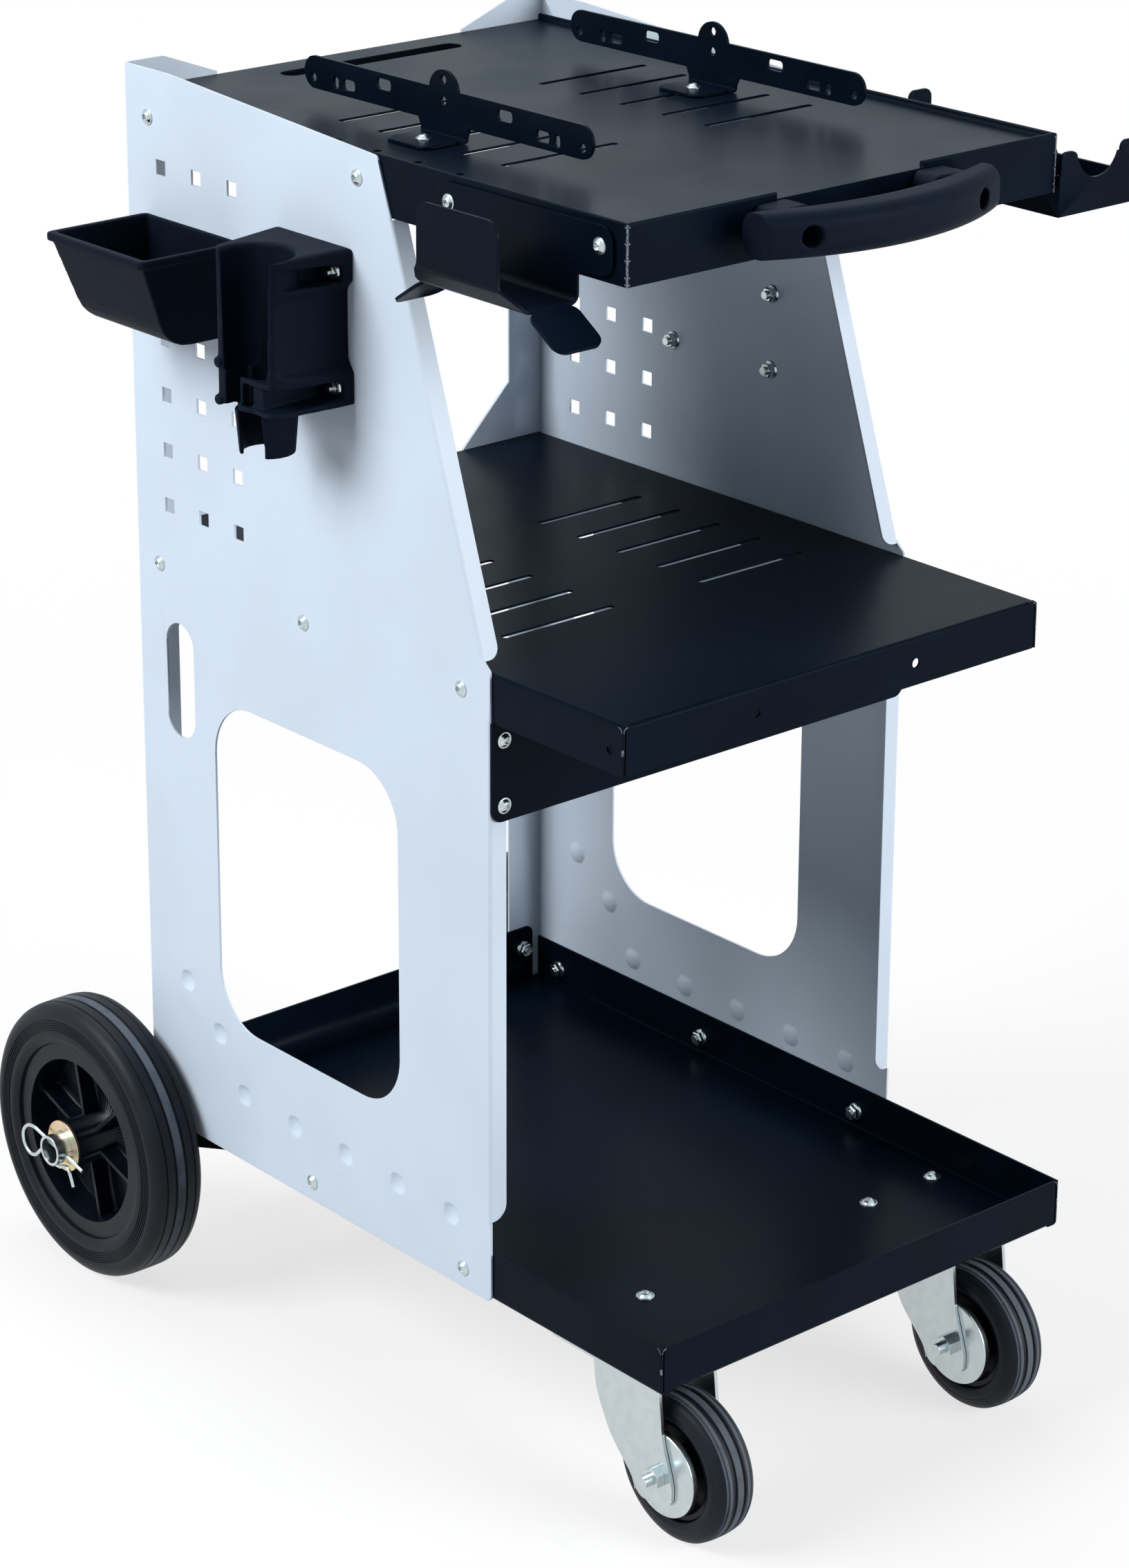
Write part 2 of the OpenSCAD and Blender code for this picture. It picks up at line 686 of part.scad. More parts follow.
module apron_screws() color(zinc_colour) placed() both() for (z = apron_spots)
    translate([apron_x, -panel_d - seat_gap - apron_t - eps, z]) to_front()
        screw(apron_t + seat_gap + panel_t + nut_height(screw_d) + 1.5);
module apron_nuts() color(zinc_colour) placed() both() for (z = apron_spots)
    translate([apron_x, -panel_d + panel_t + eps, z]) to_rear() nut();

module tray_rear_screws() color(zinc_colour) placed() both()
    translate([rear_bolt_x, eps, rear_bolt_z]) to_rear() screw(frame_stack + nut_height(screw_d) + 1.5);
module tray_rear_nuts() color(zinc_colour) placed() both()
    translate([rear_bolt_x, -frame_stack - eps, rear_bolt_z]) to_front() nut();

module accessory_screws() color(zinc_colour) placed() for (s = accessory_spots)
    translate([half_w + eps, -s[0], s[1]]) to_right() screw(panel_t + nut_height(screw_d) + 2.5);
module accessory_nuts() color(zinc_colour) placed() for (s = accessory_spots)
    translate([inner_x - eps, -s[0], s[1]]) to_left() nut();

// Handle --------------------------------------------------------------------------------

handle_edge = 9;
handle_seat = shelf_front + seat_gap;
handle_front = shelf_front + handle_reach;
handle_rear = shelf_front + handle_gap;
handle_recess = handle_seat + 7;
// Disc of radius r whose rim is rounded
module soft_disc(r) rotate_extrude() polygon(soft([
    [0, -handle_h / 2, 0],
    [r, -handle_h / 2, handle_edge],
    [r, handle_h / 2, handle_edge],
    [0, handle_h / 2, 0]
]));
// Disc of radius r whose faces flare outwards, to round the edges of what it cuts
module flared_disc(r) rotate_extrude() polygon(concat(
    [[0, -handle_h / 2 - 1], [r + handle_edge, -handle_h / 2 - 1]],
    [for (a = [0:15:90]) [r + handle_edge * (1 - sin(a)), -handle_h / 2 + handle_edge * (1 - cos(a))]],
    [for (a = [90:-15:0]) [r + handle_edge * (1 - sin(a)), handle_h / 2 - handle_edge * (1 - cos(a))]],
    [[r + handle_edge, handle_h / 2 + 1], [0, handle_h / 2 + 1]]
));
module bow_handle() color(mould_colour) placed() translate([0, 0, handle_z]) difference() {
    union() {
        intersection() {
            difference() {
                translate([0, -handle_front + handle_front_r, 0]) soft_disc(handle_front_r);
                translate([0, -handle_rear + handle_rear_r, 0]) flared_disc(handle_rear_r);
            }
            translate([0, 0, -handle_h]) linear_extrude(2 * handle_h) polygon(soft([
                [-handle_l / 2, -handle_rear + 25, 0],
                [-handle_l / 2, -handle_front + 20, 7],
                [-handle_l / 2 + 16, -handle_front - 5, 0],
                [handle_l / 2 - 16, -handle_front - 5, 0],
                [handle_l / 2, -handle_front + 20, 7],
                [handle_l / 2, -handle_rear + 25, 0]
            ]));
        }
        both() translate([handle_screw_x - 5, -handle_seat, 0]) to_front()
            linear_extrude(handle_recess - handle_seat + 12) rounded_rect(30, handle_h - 3, 6);
    }
    for (s = [-1, 1])
        translate([s * handle_screw_x, 0, 0]) to_front() {
            translate([0, 0, handle_recess]) cylinder(r = 6.5, h = handle_reach);
            cylinder(r = hole_r, h = handle_front);
        }
}
module handle_screws() color(zinc_colour) placed() both()
    translate([handle_screw_x, -handle_recess - eps, handle_z]) to_front()
        screw(handle_recess - shelf_front + shelf_t + nut_height(screw_d) + 1.5);
module handle_nuts() color(zinc_colour) placed() both()
    translate([handle_screw_x, -shelf_front + shelf_t + eps, handle_z]) to_rear() nut();

// Torch holder and bin ------------------------------------------------------------------
// Both are drawn with X counting outwards from the left panel and Y forwards

module on_left_panel() translate([-half_w - seat_gap, 0, 0]) rotate([0, 0, 180]) children();

lug_z = [holder_low + 2, holder_low + 26];
spout_reach = cup_reach - 9.5;
spout_d = cup_d - 2.5;
spout_r = 17.5;
spout_l = 30;
gap_d = cup_d - cup_r + 4.5;
module torch_holder() color(mould_colour) placed() on_left_panel() difference() {
    union() {
        in_xy(holder_low, holder_h) holder_outline();
        for (z = lug_z)
            translate([holder_reach - lug_h, holder_rear_d + 18, z]) to_right() cylinder(r = 3.5, h = 2 * lug_h);
        translate([spout_reach, spout_d, holder_low - spout_l]) cylinder(r1 = spout_r, r2 = spout_r + 3, h = spout_l + 5);
    }
    waist();
    brow();
    translate([cup_reach, cup_d, holder_low + collar_h]) cup_bore(holder_h - collar_h);
    translate([cup_reach, gap_d, holder_low + collar_h]) cube([60, 2 * cup_r - 8, holder_h]);
    translate([spout_reach, gap_d, holder_low - 1]) cube([60, 15, holder_h]);
    translate([spout_reach, spout_d, holder_low - spout_l - 1])
        cylinder(r1 = spout_r - mould_t, r2 = spout_r - mould_t + 1, h = spout_l + holder_h);
    translate([spout_reach, spout_d, holder_low - spout_l - 1]) rotate([0, 0, 15])
        translate([0, -9, 0]) cube([60, 18, spout_l + 1]);
    pocket(holder_bolt_z[0], 56, 4, 8);
    pocket(holder_bolt_z[1], 66, 8, 7);
    translate([holder_reach - 3, cup_d - 3, holder_low + 3]) cube([10, 40, collar_h - 6.5]);
    for (z = holder_bolt_z)
        translate([-1, holder_bolt_d, z]) to_right() cylinder(r = small_hole_r, h = 12);
}
// Plan of the holder: a wedge from the panel to the two arms round the cup
module holder_outline() polygon(soft([
    [0, holder_rear_d, 2],
    [holder_reach - 3, holder_rear_d + 13, 3],
    [holder_reach, holder_rear_d + 17, 2],
    [holder_reach, holder_front_d - 6, 5],
    [holder_reach - 12, holder_front_d - 3, 12],
    [8, holder_front_d, 4],
    [0, holder_front_d, 0]
]));
// The front face is drawn back between the upper and the lower flange
module waist() in_yz(-1, holder_reach + 10) polygon(soft([
    [holder_front_d + 9, holder_top - 20, 0],
    [holder_front_d, holder_top - 20, 3],
    [holder_front_d - 5.4, holder_top - 26, 4],
    [holder_front_d - 5.4, holder_low + collar_h + 7, 4],
    [holder_front_d, holder_low + collar_h - 1, 3],
    [holder_front_d + 9, holder_low + collar_h - 1, 0]
]));
// Rounds the front edge of the top
brow_r = 5;
module brow() translate([8, holder_front_d, holder_top]) rotate([0, 0, -atan(3 / 40)])
    in_yz(-12, holder_reach + 10) difference() {
        translate([-brow_r, -brow_r]) square(brow_r + 5);
        translate([-brow_r, -brow_r]) circle(brow_r);
    }
// Bore that narrows downwards, with a rounded edge at the top
lip_r = 3;
module cup_bore(h) rotate_extrude() polygon(concat(
    [[0, -eps], [cup_r - 2, -eps], [cup_r, h - lip_r]],
    [for (a = [15:15:90]) [cup_r + lip_r * (1 - cos(a)), h - lip_r * (1 - sin(a))]],
    [[cup_r + lip_r, h + 1], [0, h + 1]]
));
// Pocket in the front face for a nut, open to the front and taller at its outer end u
module pocket(z, u, low, high) difference() {
    in_xz(holder_front_d - 17, 60) polygon(soft([
        [8, z - 6, 1],
        [u, z - low, 1],
        [u, z + high, 1],
        [8, z + 6, 1]
    ]));
    translate([cup_reach, cup_d, holder_low + collar_h]) cylinder(r = cup_r + 1.5, h = holder_h);
}

module torch_holder_screws() color(zinc_colour) placed() for (z = holder_bolt_z)
    translate([-inner_x + eps, -holder_bolt_d, z]) to_right()
        small_screw(panel_t + seat_gap + 8 + nut_height(foot_screw_d) + 2.5);
module torch_holder_nuts() color(zinc_colour) placed() for (z = holder_bolt_z)
    translate([-half_w - seat_gap - 8 - eps, -holder_bolt_d, z]) to_left() nut(foot_screw_d);

bin_rim = 5.4;
// Cross-sections of the bin, drawn in by the wall for its inside
module bin_profile(in) polygon(soft([
    [in, bin_top + in, 0],
    [in, bin_top - bin_h + in, 6 - in],
    [bin_reach - 25 - in / 2, bin_top - bin_h + in, 25 - in],
    [bin_reach - 2.5 - in, bin_top + (in > 0 ? in : -bin_rim / 2), 0]
]));
module bin_taper(in) polygon([
    [bin_mid_d - bin_l / 2 + 2 + in, bin_top + in],
    [bin_mid_d - bin_l / 2 + 8 + in, bin_top - bin_h],
    [bin_mid_d + bin_l / 2 - 8 - in, bin_top - bin_h],
    [bin_mid_d + bin_l / 2 - 2 - in, bin_top + in]
]);
module bin_body(in) intersection() {
    in_xz(bin_mid_d - bin_l / 2, bin_l) bin_profile(in);
    in_yz(-1, bin_reach + 2) bin_taper(in);
}
module accessory_bin() color(mould_colour) placed() on_left_panel() {
    difference() {
        union() {
            bin_body(0);
            in_xy(bin_top - bin_rim, bin_rim) translate([bin_reach / 2, bin_mid_d]) rounded_rect(bin_reach, bin_l, 4);
        }
        bin_body(mould_t);
    }
    for (d = bin_hook_d)
        translate([0, d, bin_top - 6]) bin_hook();
}
// Hook through a square hole, with its lip up behind the panel
module bin_hook() {
    w = square_hole - 2;
    translate([-panel_t - 2 * seat_gap - 2, -w / 2, -w / 2]) cube([panel_t + 2 * seat_gap + 2 + eps, w, w - 1]);
    translate([-panel_t - 2 * seat_gap - 2, -w / 2, -w / 2]) cube([2, w, w + 5]);
}

// Hose saddle ---------------------------------------------------------------------------
// Drawn with X counting outwards from the top shelf's left wall and Y forwards

saddle_screw_z = top_z - 12.6;
saddle_screw_d = [saddle_d - 67.5, saddle_d + 67.5];
saddle_low = top_z - 51;
module on_left_shelf() translate([-shelf_x - seat_gap, 0, 0]) rotate([0, 0, 180]) children();
module hose_saddle() color(coat_colour) placed() on_left_shelf() difference() {
    union() {
        in_yz(0, bracket_t) translate([0, 0]) polygon(soft([
            [saddle_d - saddle_plate_l / 2, top_z - 0.2, 10],
            [saddle_d - saddle_plate_l / 2, top_z - 29.5, 10],
            [saddle_d - saddle_floor_l / 2, top_z - 32, 3],
            [saddle_d - saddle_floor_l / 2, top_z - 44, 0],
            [saddle_d + saddle_floor_l / 2, top_z - 44, 0],
            [saddle_d + saddle_floor_l / 2, top_z - 32, 3],
            [saddle_d + saddle_plate_l / 2, top_z - 29.5, 10],
            [saddle_d + saddle_plate_l / 2, top_z - 0.2, 10]
        ]));
        in_xz(saddle_d - saddle_floor_l / 2, saddle_floor_l) polygon(sheet(bent([
            [0, top_z - 43, 0],
            [0, saddle_low, 6],
            [saddle_reach - 12, saddle_low, 8],
            [saddle_reach, saddle_low + 13, 5],
            [saddle_reach, saddle_low + 14.5, 0]
        ]), bracket_t));
        intersection() {
            in_xz(saddle_d - saddle_floor_l / 2, saddle_floor_l)
                translate([saddle_reach - bracket_t, saddle_low + 13]) square([bracket_t, 60]);
            in_yz(0, saddle_reach + 1) polygon(soft([
                [saddle_d - saddle_floor_l / 2, saddle_low + 10, 0],
                [saddle_d - saddle_outer_l / 2, saddle_low + 22, 6],
                [saddle_d - saddle_outer_l / 2, top_z + 3, 10],
                [saddle_d + saddle_outer_l / 2, top_z + 3, 10],
                [saddle_d + saddle_outer_l / 2, saddle_low + 22, 6],
                [saddle_d + saddle_floor_l / 2, saddle_low + 10, 0]
            ]));
        }
        for (s = [-1, 1])
            translate([saddle_reach / 2 - 4, saddle_d + s * (saddle_floor_l / 2 - 1), saddle_low])
                rotate([-s * tongue_tilt, 0, 0]) translate([0, s * tongue_l / 2, 0])
                    linear_extrude(bracket_t) rounded_rect(36, tongue_l, 8);
    }
    for (d = saddle_screw_d)
        translate([-1, d, saddle_screw_z]) to_right() cylinder(r = hole_r, h = bracket_t + 2);
}
saddle_stack = bracket_t + seat_gap + shelf_t;
module saddle_screws() color(zinc_colour) placed() for (d = saddle_screw_d)
    translate([-shelf_x - seat_gap - bracket_t - eps, -d, saddle_screw_z]) to_left()
        screw(saddle_stack + nut_height(screw_d) + 1.5);
module saddle_nuts() color(zinc_colour) placed() for (d = saddle_screw_d)
    translate([-shelf_x + shelf_t + eps, -d, saddle_screw_z]) to_right() nut();

// Cable bracket -------------------------------------------------------------------------
// Drawn with X counting outwards from the top shelf's right wall

fork_rear_d = fork_front_d - fork_plate_l;
fork_screw_z = top_z - 20;
fork_screw_d = [fork_front_d - 28, fork_rear_d + 28];
fork_wall_screw_d = fork_front_d - 12;
fork_wall_screw_z = fork_low + 9.5;
module on_right_shelf() translate([shelf_x + seat_gap, 0, 0]) children();
module fork_outline() difference() {
    polygon(soft([
        [0, fork_low, 0],
        [fork_reach, fork_low, 4],
        [fork_reach, fork_low + fork_h, 6],
        [fork_reach - 20, fork_low + fork_h, 5],
        [fork_reach - 20, fork_low + fork_h - 6, 0],
        [16, fork_low + fork_h - 6, 0],
        [16, fork_low + fork_h, 6],
        [1, fork_low + fork_h, 5],
        [1, fork_low + 25, 1],
        [0, fork_low + 25, 0]
    ]));
    translate([fork_reach / 2 - 3, fork_low + fork_h]) circle(fork_notch_r);
}
module cable_bracket() color(coat_colour) placed() on_right_shelf() difference() {
    union() {
        in_yz(0, bracket_t) polygon(soft([
            [-fork_front_d, fork_low, 0],
            [-fork_rear_d, fork_low, 0],
            [-fork_rear_d, top_z - 2, 8],
            [-fork_front_d + 4, top_z - 2, 10],
            [-fork_front_d + 4, fork_low + 26, 0],
            [-fork_front_d, fork_low + 26, 1]
        ]));
        for (d = [fork_front_d, fork_rear_d + bracket_t])
            in_xz(-d, bracket_t) fork_outline();
        in_xy(fork_low, bracket_t)
            translate([0, -fork_front_d]) square([fork_reach, fork_plate_l]);
        in_yz(fork_reach - bracket_t, bracket_t) polygon([
            [-fork_front_d, fork_low],
            [-fork_rear_d, fork_low],
            [-fork_rear_d, fork_low + 17],
            [-fork_front_d, fork_low + 17]
        ]);
    }
    for (d = fork_screw_d)
        translate([-1, -d, fork_screw_z]) to_right() cylinder(r = hole_r, h = bracket_t + 2);
    translate([fork_reach - bracket_t - 1, -fork_wall_screw_d, fork_wall_screw_z])
        to_right() cylinder(r = hole_r, h = bracket_t + 2);
}
module cable_bracket_screws() color(zinc_colour) placed() for (d = fork_screw_d)
    translate([shelf_x + seat_gap + bracket_t + eps, -d, fork_screw_z]) to_right()
        screw(saddle_stack + nut_height(screw_d) + 1.5);
module cable_bracket_nuts() color(zinc_colour) placed() for (d = fork_screw_d)
    translate([shelf_x - shelf_t - eps, -d, fork_screw_z]) to_left() nut();
module cable_wall_screw() color(zinc_colour) placed() on_right_shelf()
    translate([fork_reach + eps, -fork_wall_screw_d, fork_wall_screw_z]) to_right()
        screw(bracket_t + nut_height(screw_d) + 1.5);
module cable_wall_nut() color(zinc_colour) placed() on_right_shelf()
    translate([fork_reach - bracket_t - eps, -fork_wall_screw_d, fork_wall_screw_z]) to_left() nut();

// Support brackets ----------------------------------------------------------------------
// Drawn with the bar in the plane X 0, its foot towards -X, and Z counting from the shelf

ear_r = 14;
bar_mid_z = foot_gap + bar_rise + bar_h / 2;
module bar_outline() difference() {
    union() {
        translate([0, bar_mid_z]) slot(bar_l, bar_h);
        translate([0, bar_rise + bar_h + foot_gap - 2]) circle(ear_r);
        polygon([
            [-22, foot_gap + 4],
            [22, foot_gap + 4],
            [29.5, bar_mid_z],
            [-29.5, bar_mid_z]
        ]);
    }
    for (dz = [bar_rise + bar_h + 6, bar_rise + bar_h - 7.1])
        translate([0, dz]) circle(2.8);
    for (s = [-1, 1]) {
        translate([s * 129.7, bar_mid_z - 3.5]) circle(2.8);
        translate([s * 106.7, bar_mid_z - 3.5]) rotate(90) slot(8, 5.5);
        translate([s * 93.5, bar_mid_z - 3]) rounded_rect(12, 7, 2.5);
        translate([s * 58.4, bar_mid_z + 3.5]) rounded_rect(14, 7, 2.5);
    }
}
module support_bracket() {
    difference() {
        union() {
            in_yz(-bracket_t / 2, bracket_t) bar_outline();
            translate([bracket_t / 2 - foot_l, -foot_w / 2, foot_gap]) linear_extrude(bracket_t) polygon(soft([
                [0, 0, 8],
                [foot_l - 1, 0, 0],
                [foot_l - 1, foot_w, 0],
                [0, foot_w, 8]
            ]));
            in_xz(-22, 44) polygon(sheet(bent([
                [-6, foot_gap, 0],
                [bracket_t / 2, foot_gap, bend_r],
                [bracket_t / 2, foot_gap + 6, 0]
            ]), bracket_t));
        }
        translate([-foot_screw, 0, -1]) cylinder(d = foot_screw_d + screw_play, h = 6);
    }
}
module on_slot(x) placed() translate([x, -slot_mid_d, top_z]) children();
module support_screw() translate([-foot_screw, 0, foot_gap + bracket_t + eps])
    small_screw(foot_gap + bracket_t + shelf_t + foot_gap + nut_height(foot_screw_d) + 2);
module support_nut() translate([-foot_screw, 0, -shelf_t - foot_gap]) mirror([0, 0, 1]) nut(foot_screw_d);

module left_support_bracket() color(coat_colour) on_slot(-left_bar_x) support_bracket();
module left_support_screw() color(zinc_colour) on_slot(-left_bar_x) support_screw();
module left_support_nut() color(zinc_colour) on_slot(-left_bar_x) support_nut();
module right_support_bracket() color(coat_colour) on_slot(right_bar_x) support_bracket();
module right_support_screw() color(zinc_colour) on_slot(right_bar_x) support_screw();
module right_support_nut() color(zinc_colour) on_slot(right_bar_x) support_nut();

// Rear axle and wheels ------------------------------------------------------------------

module at_axle() translate([0, axle_y, wheel_r]) children();
// A ring from radius r1 to r2 that stands on the YZ plane at x
module ring_x(x, l, r1, r2) translate([x, 0, 0]) to_right() difference() {
    cylinder(r = r2, h = l);
    translate([0, 0, -1]) cylinder(r = r1, h = l + 2);
}
module axle_tube() color(zinc_colour) placed() at_axle() difference() {
    ring_x(-axle_l / 2, axle_l, axle_r - axle_wall, axle_r);
    for (s = [-1, 1])
        translate([s * clip_x, 0, 0]) rotate([clip_tilt, 0, 0])
            to_front() cylinder(d = clip_wire + 0.4, h = 60, center = true);
}
ear_front_d = 70;
ear_eye_r = 18;
module ear_outline() difference() {
    polygon(soft([
        [-ear_front_d, tray_z - seat_gap, 0],
        [-ear_front_d, tray_z - 14, 6],
        [axle_y - 12, wheel_r - ear_eye_r, 12],
        [axle_y + ear_eye_r, wheel_r - ear_eye_r, 14],
        [axle_y + ear_eye_r, wheel_r + ear_eye_r, 14],
        [0, panel_z - 3, 4],
        [-4, tray_z - seat_gap, 0]
    ]));
    translate([axle_y, wheel_r]) circle(axle_r + run_gap);
}
module axle_carrier() color(coat_colour) placed() {
    both() in_yz(carrier_x - carrier_t, carrier_t) ear_outline();
    translate([-carrier_x + carrier_t - eps, -ear_front_d, tray_z - seat_gap - carrier_t])
        cube([2 * (carrier_x - carrier_t + eps), ear_front_d - 4, carrier_t]);
}
module axle_spacers() color(zinc_colour) placed() at_axle() both()
    ring_x(carrier_x + seat_gap, hub_x - carrier_x - seat_gap - 0.3, axle_r + 0.1, axle_r + 3);
module axle_washers() color(washer_colour) placed() at_axle() both()
    ring_x(hub_x + wheel_hub_l + 0.3, washer_t, axle_r + 0.1, 18.5);

// Spring clip: a straight leg through the tube, a loop and a leg that clasps the tube
clip_loop_r = 8;
clip_hug_r = axle_r + clip_wire / 2 + 0.3;
clip_loop = [clip_hug_r + clip_loop_r, -clip_loop_r];
clip_leave = atan2(clip_loop[1], clip_loop[0]) - acos((clip_hug_r - clip_loop_r) / norm(clip_loop));
clip_clasp = 35;
clip_leg = 12;
clip_turn = 90 - clip_leave;
clasp_end = clip_leave - clip_clasp;
function round_point(a) = [cos(a), sin(a)];
clip_path = concat(
    [[-axle_r - 10, 0], [-axle_r, 0], [0, 0]],
    [for (i = [0:18]) clip_loop + clip_loop_r * round_point(90 - i * clip_turn / 18)],
    [for (i = [0:5]) clip_hug_r * round_point(clip_leave - i * clip_clasp / 5)],
    [clip_hug_r * round_point(clasp_end) + clip_leg * round_point(-150)]
);
// Wire of 12 sides along a flat path
module wire(path, d) {
    sides = 12;
    last = len(path) - 1;
    rings = [
        for (i = [0:last])
            let (
                n1 = left_of(unit(path[max(i, 1)] - path[max(i, 1) - 1])),
                n2 = left_of(unit(path[min(i, last - 1) + 1] - path[min(i, last - 1)])),
                n = unit(n1 + n2)
            )
            for (j = [0:sides - 1])
                let (a = j * 360 / sides)
                [path[i][0] + d / 2 * cos(a) * n[0], path[i][1] + d / 2 * cos(a) * n[1], d / 2 * sin(a)]
    ];
    walls = [
        for (i = [0:last - 1], j = [0:sides - 1])
            let (
                a = i * sides + j,
                b = i * sides + (j + 1) % sides
            )
            each [[a, b, b + sides], [a, b + sides, a + sides]]
    ];
    near_end = [for (j = [sides - 1:-1:0]) j];
    far_end = [for (j = [0:sides - 1]) last * sides + j];
    polyhedron(rings, concat(walls, [near_end, far_end]));
}
module axle_clip() wire(clip_path, clip_wire);
module axle_clips() color(zinc_colour) placed() at_axle() both()
    translate([clip_x, 0, 0]) rotate([clip_tilt, 0, 0]) rotate([90, 0, 90]) axle_clip();

// Tyre with a rounded crown and sidewalls, from the rim seat r to the tread r2
module tyre(w, r, r2, groove) rotate_extrude() polygon(soft([
    [r, -w / 2 + w * 0.12, 1],
    [(r + r2) / 2 - w * 0.04, -w / 2, w * 0.15],
    [r2 - w * 0.16, -w / 2 + w * 0.01, w * 0.1],
    [r2, -w / 2 + w * 0.16, w * 0.07],
    [r2, -w * 0.14, 0],
    [r2 - groove, -w * 0.12, 0],
    [r2 - groove, -w * 0.09, 0],
    [r2, -w * 0.07, 0],
    [r2, w * 0.07, 0],
    [r2 - groove, w * 0.09, 0],
    [r2 - groove, w * 0.12, 0],
    [r2, w * 0.14, 0],
    [r2, w / 2 - w * 0.16, w * 0.07],
    [r2 - w * 0.16, w / 2 - w * 0.01, w * 0.1],
    [(r + r2) / 2 - w * 0.04, w / 2, w * 0.15],
    [r, w / 2 - w * 0.12, 1]
]));
module rear_tyre() at_axle() translate([wheel_x + wheel_w / 2, 0, 0]) to_right()
    tyre(wheel_w, wheel_rim_d / 2 + 0.05, wheel_r, 1.2);

// Rim of a rear wheel: a hub, a web with ribs and a ring under the tyre
module rear_rim() at_axle() translate([wheel_x, 0, 0]) to_right() {
    ring_r = wheel_rim_d / 2;
    dish_r = wheel_dish_d / 2;
    web_z = wheel_w * 0.42;
    difference() {
        union() {
            translate([0, 0, wheel_w * 0.12]) cylinder(r = ring_r, h = wheel_w * 0.76);
            translate([0, 0, 0.8]) cylinder(d = wheel_hub_d, h = wheel_hub_l);
        }
        for (z = [[-1, web_z - 4], [web_z, wheel_w * 0.88 + 1]])
            translate([0, 0, z[0]]) difference() {
                cylinder(r1 = dish_r + (z[0] < 0 ? 3 : 0), r2 = dish_r + (z[0] < 0 ? 0 : 3), h = z[1] - z[0]);
                translate([0, 0, -1]) cylinder(d = wheel_hub_d, h = wheel_w + 4);
                for (i = [0:rib_count - 1])
                    rotate([0, 0, i * 360 / rib_count + 48]) translate([0, -1.5, z[0] < 0 ? 9 : -1])
                        cube([ring_r, 3, z[0] < 0 ? wheel_w : wheel_w * 0.88 - web_z - 6]);
            }
        translate([0, 0, -1]) cylinder(r = axle_r + run_gap, h = wheel_hub_l + 4);
    }
}
module left_rear_tyre() color(rubber_colour) placed() mirror([1, 0, 0]) rear_tyre();
module left_rear_rim() color(coat_colour) placed() mirror([1, 0, 0]) rear_rim();
module right_rear_tyre() color(rubber_colour) placed() rear_tyre();
module right_rear_rim() color(coat_colour) placed() rear_rim();

// Castors -------------------------------------------------------------------------------
// Each is drawn round its swivel axis, with Z counting from the floor

castor_plate_z = tray_z - castor_plate_t;
cup_h = 7;
race_gap = 0.3;
crown_z = castor_plate_z - cup_h - 3.5 - fork_t;
castor_spots = [
    for (s = [-1, 1], i = [-1, 1], j = [-1, 1])
        [s * castor_x + i * castor_bolt_x / 2, -castor_y + j * castor_bolt_y / 2]
];
module at_castor(s) placed() translate([s * castor_x, -castor_y, 0]) children();
module at_castor_axle(s) at_castor(s) translate([0, -castor_trail, castor_d / 2]) children();

module castor_plate() difference() {
    union() {
        in_xy(castor_plate_z, castor_plate_t - seat_gap)
            rounded_rect(castor_bolt_x + 25, castor_bolt_y + 25, 9);
        translate([0, 0, castor_plate_z - cup_h]) cylinder(r1 = 29, r2 = 32, h = cup_h + eps);
    }
    for (i = [-1, 1], j = [-1, 1])
        translate([i * castor_bolt_x / 2, j * castor_bolt_y / 2, castor_plate_z - 1])
            cylinder(r = hole_r, h = castor_plate_t + 2);
    translate([0, 0, castor_plate_z - cup_h - 1]) cylinder(d = king_d + 0.2, h = cup_h + castor_plate_t + 2);
    translate([0, 0, castor_plate_z - cup_h - 1]) cylinder(r = 20, h = cup_h - 3);
}
module castor_plates() color(zinc_colour) for (s = [-1, 1]) at_castor(s) castor_plate();
module castor_king_pins() color(zinc_colour) for (s = [-1, 1]) at_castor(s) {
    translate([0, 0, crown_z - race_gap - 3]) cylinder(d = king_d + 7, h = 3);
    translate([0, 0, crown_z - race_gap - eps]) cylinder(d = king_d, h = tray_z - seat_gap - crown_z + race_gap);
}
castor_stack = shelf_t + castor_plate_t;
module castor_screws() color(zinc_colour) placed() for (s = castor_spots)
    translate([s[0], s[1], tray_z + shelf_t + eps]) screw(castor_stack + nut_height(screw_d) + 2, head = 12);
module castor_nuts() color(zinc_colour) placed() for (s = castor_spots)
    translate([s[0], s[1], castor_plate_z - eps]) mirror([0, 0, 1]) nut();

fork_out = fork_w / 2 + fork_t;
// Side view of the fork: the legs sweep from the crown down to the axle
module leg_outline() {
    z = castor_d / 2;
    polygon(soft([
        [28, crown_z + fork_t + 1, 0],
        [-33, crown_z + fork_t + 1, 0],
        [-37, z + 25, 60],
        [-castor_trail - 13.5, z - 5, 25],
        [-castor_trail - 11.5, z - 19, 8],
        [-castor_trail + 21, z - 23, 9],
        [-castor_trail + 22, z - 13, 20],
        [12, z + 11, 40],
        [25.5, z + 37, 40]
    ]));
}
module castor_fork() {
    difference() {
        union() {
            intersection() {
                in_xz(-60, 100) polygon(sheet(bent([
                    [-fork_out, 0, 0],
                    [-fork_out, crown_z + fork_t, 6],
                    [fork_out, crown_z + fork_t, 6],
                    [fork_out, 0, 0]
                ]), -fork_t));
                in_yz(-fork_out - 1, 2 * fork_out + 2) leg_outline();
            }
            translate([0, 0, crown_z + fork_t - eps]) cylinder(r = 26.5, h = 3.5 - race_gap + eps);
        }
        translate([0, 0, crown_z - 1]) cylinder(d = king_d + 2 * run_gap, h = 20);
        translate([-40, -castor_trail, castor_d / 2]) to_right() cylinder(d = 8.4, h = 80);
    }
}
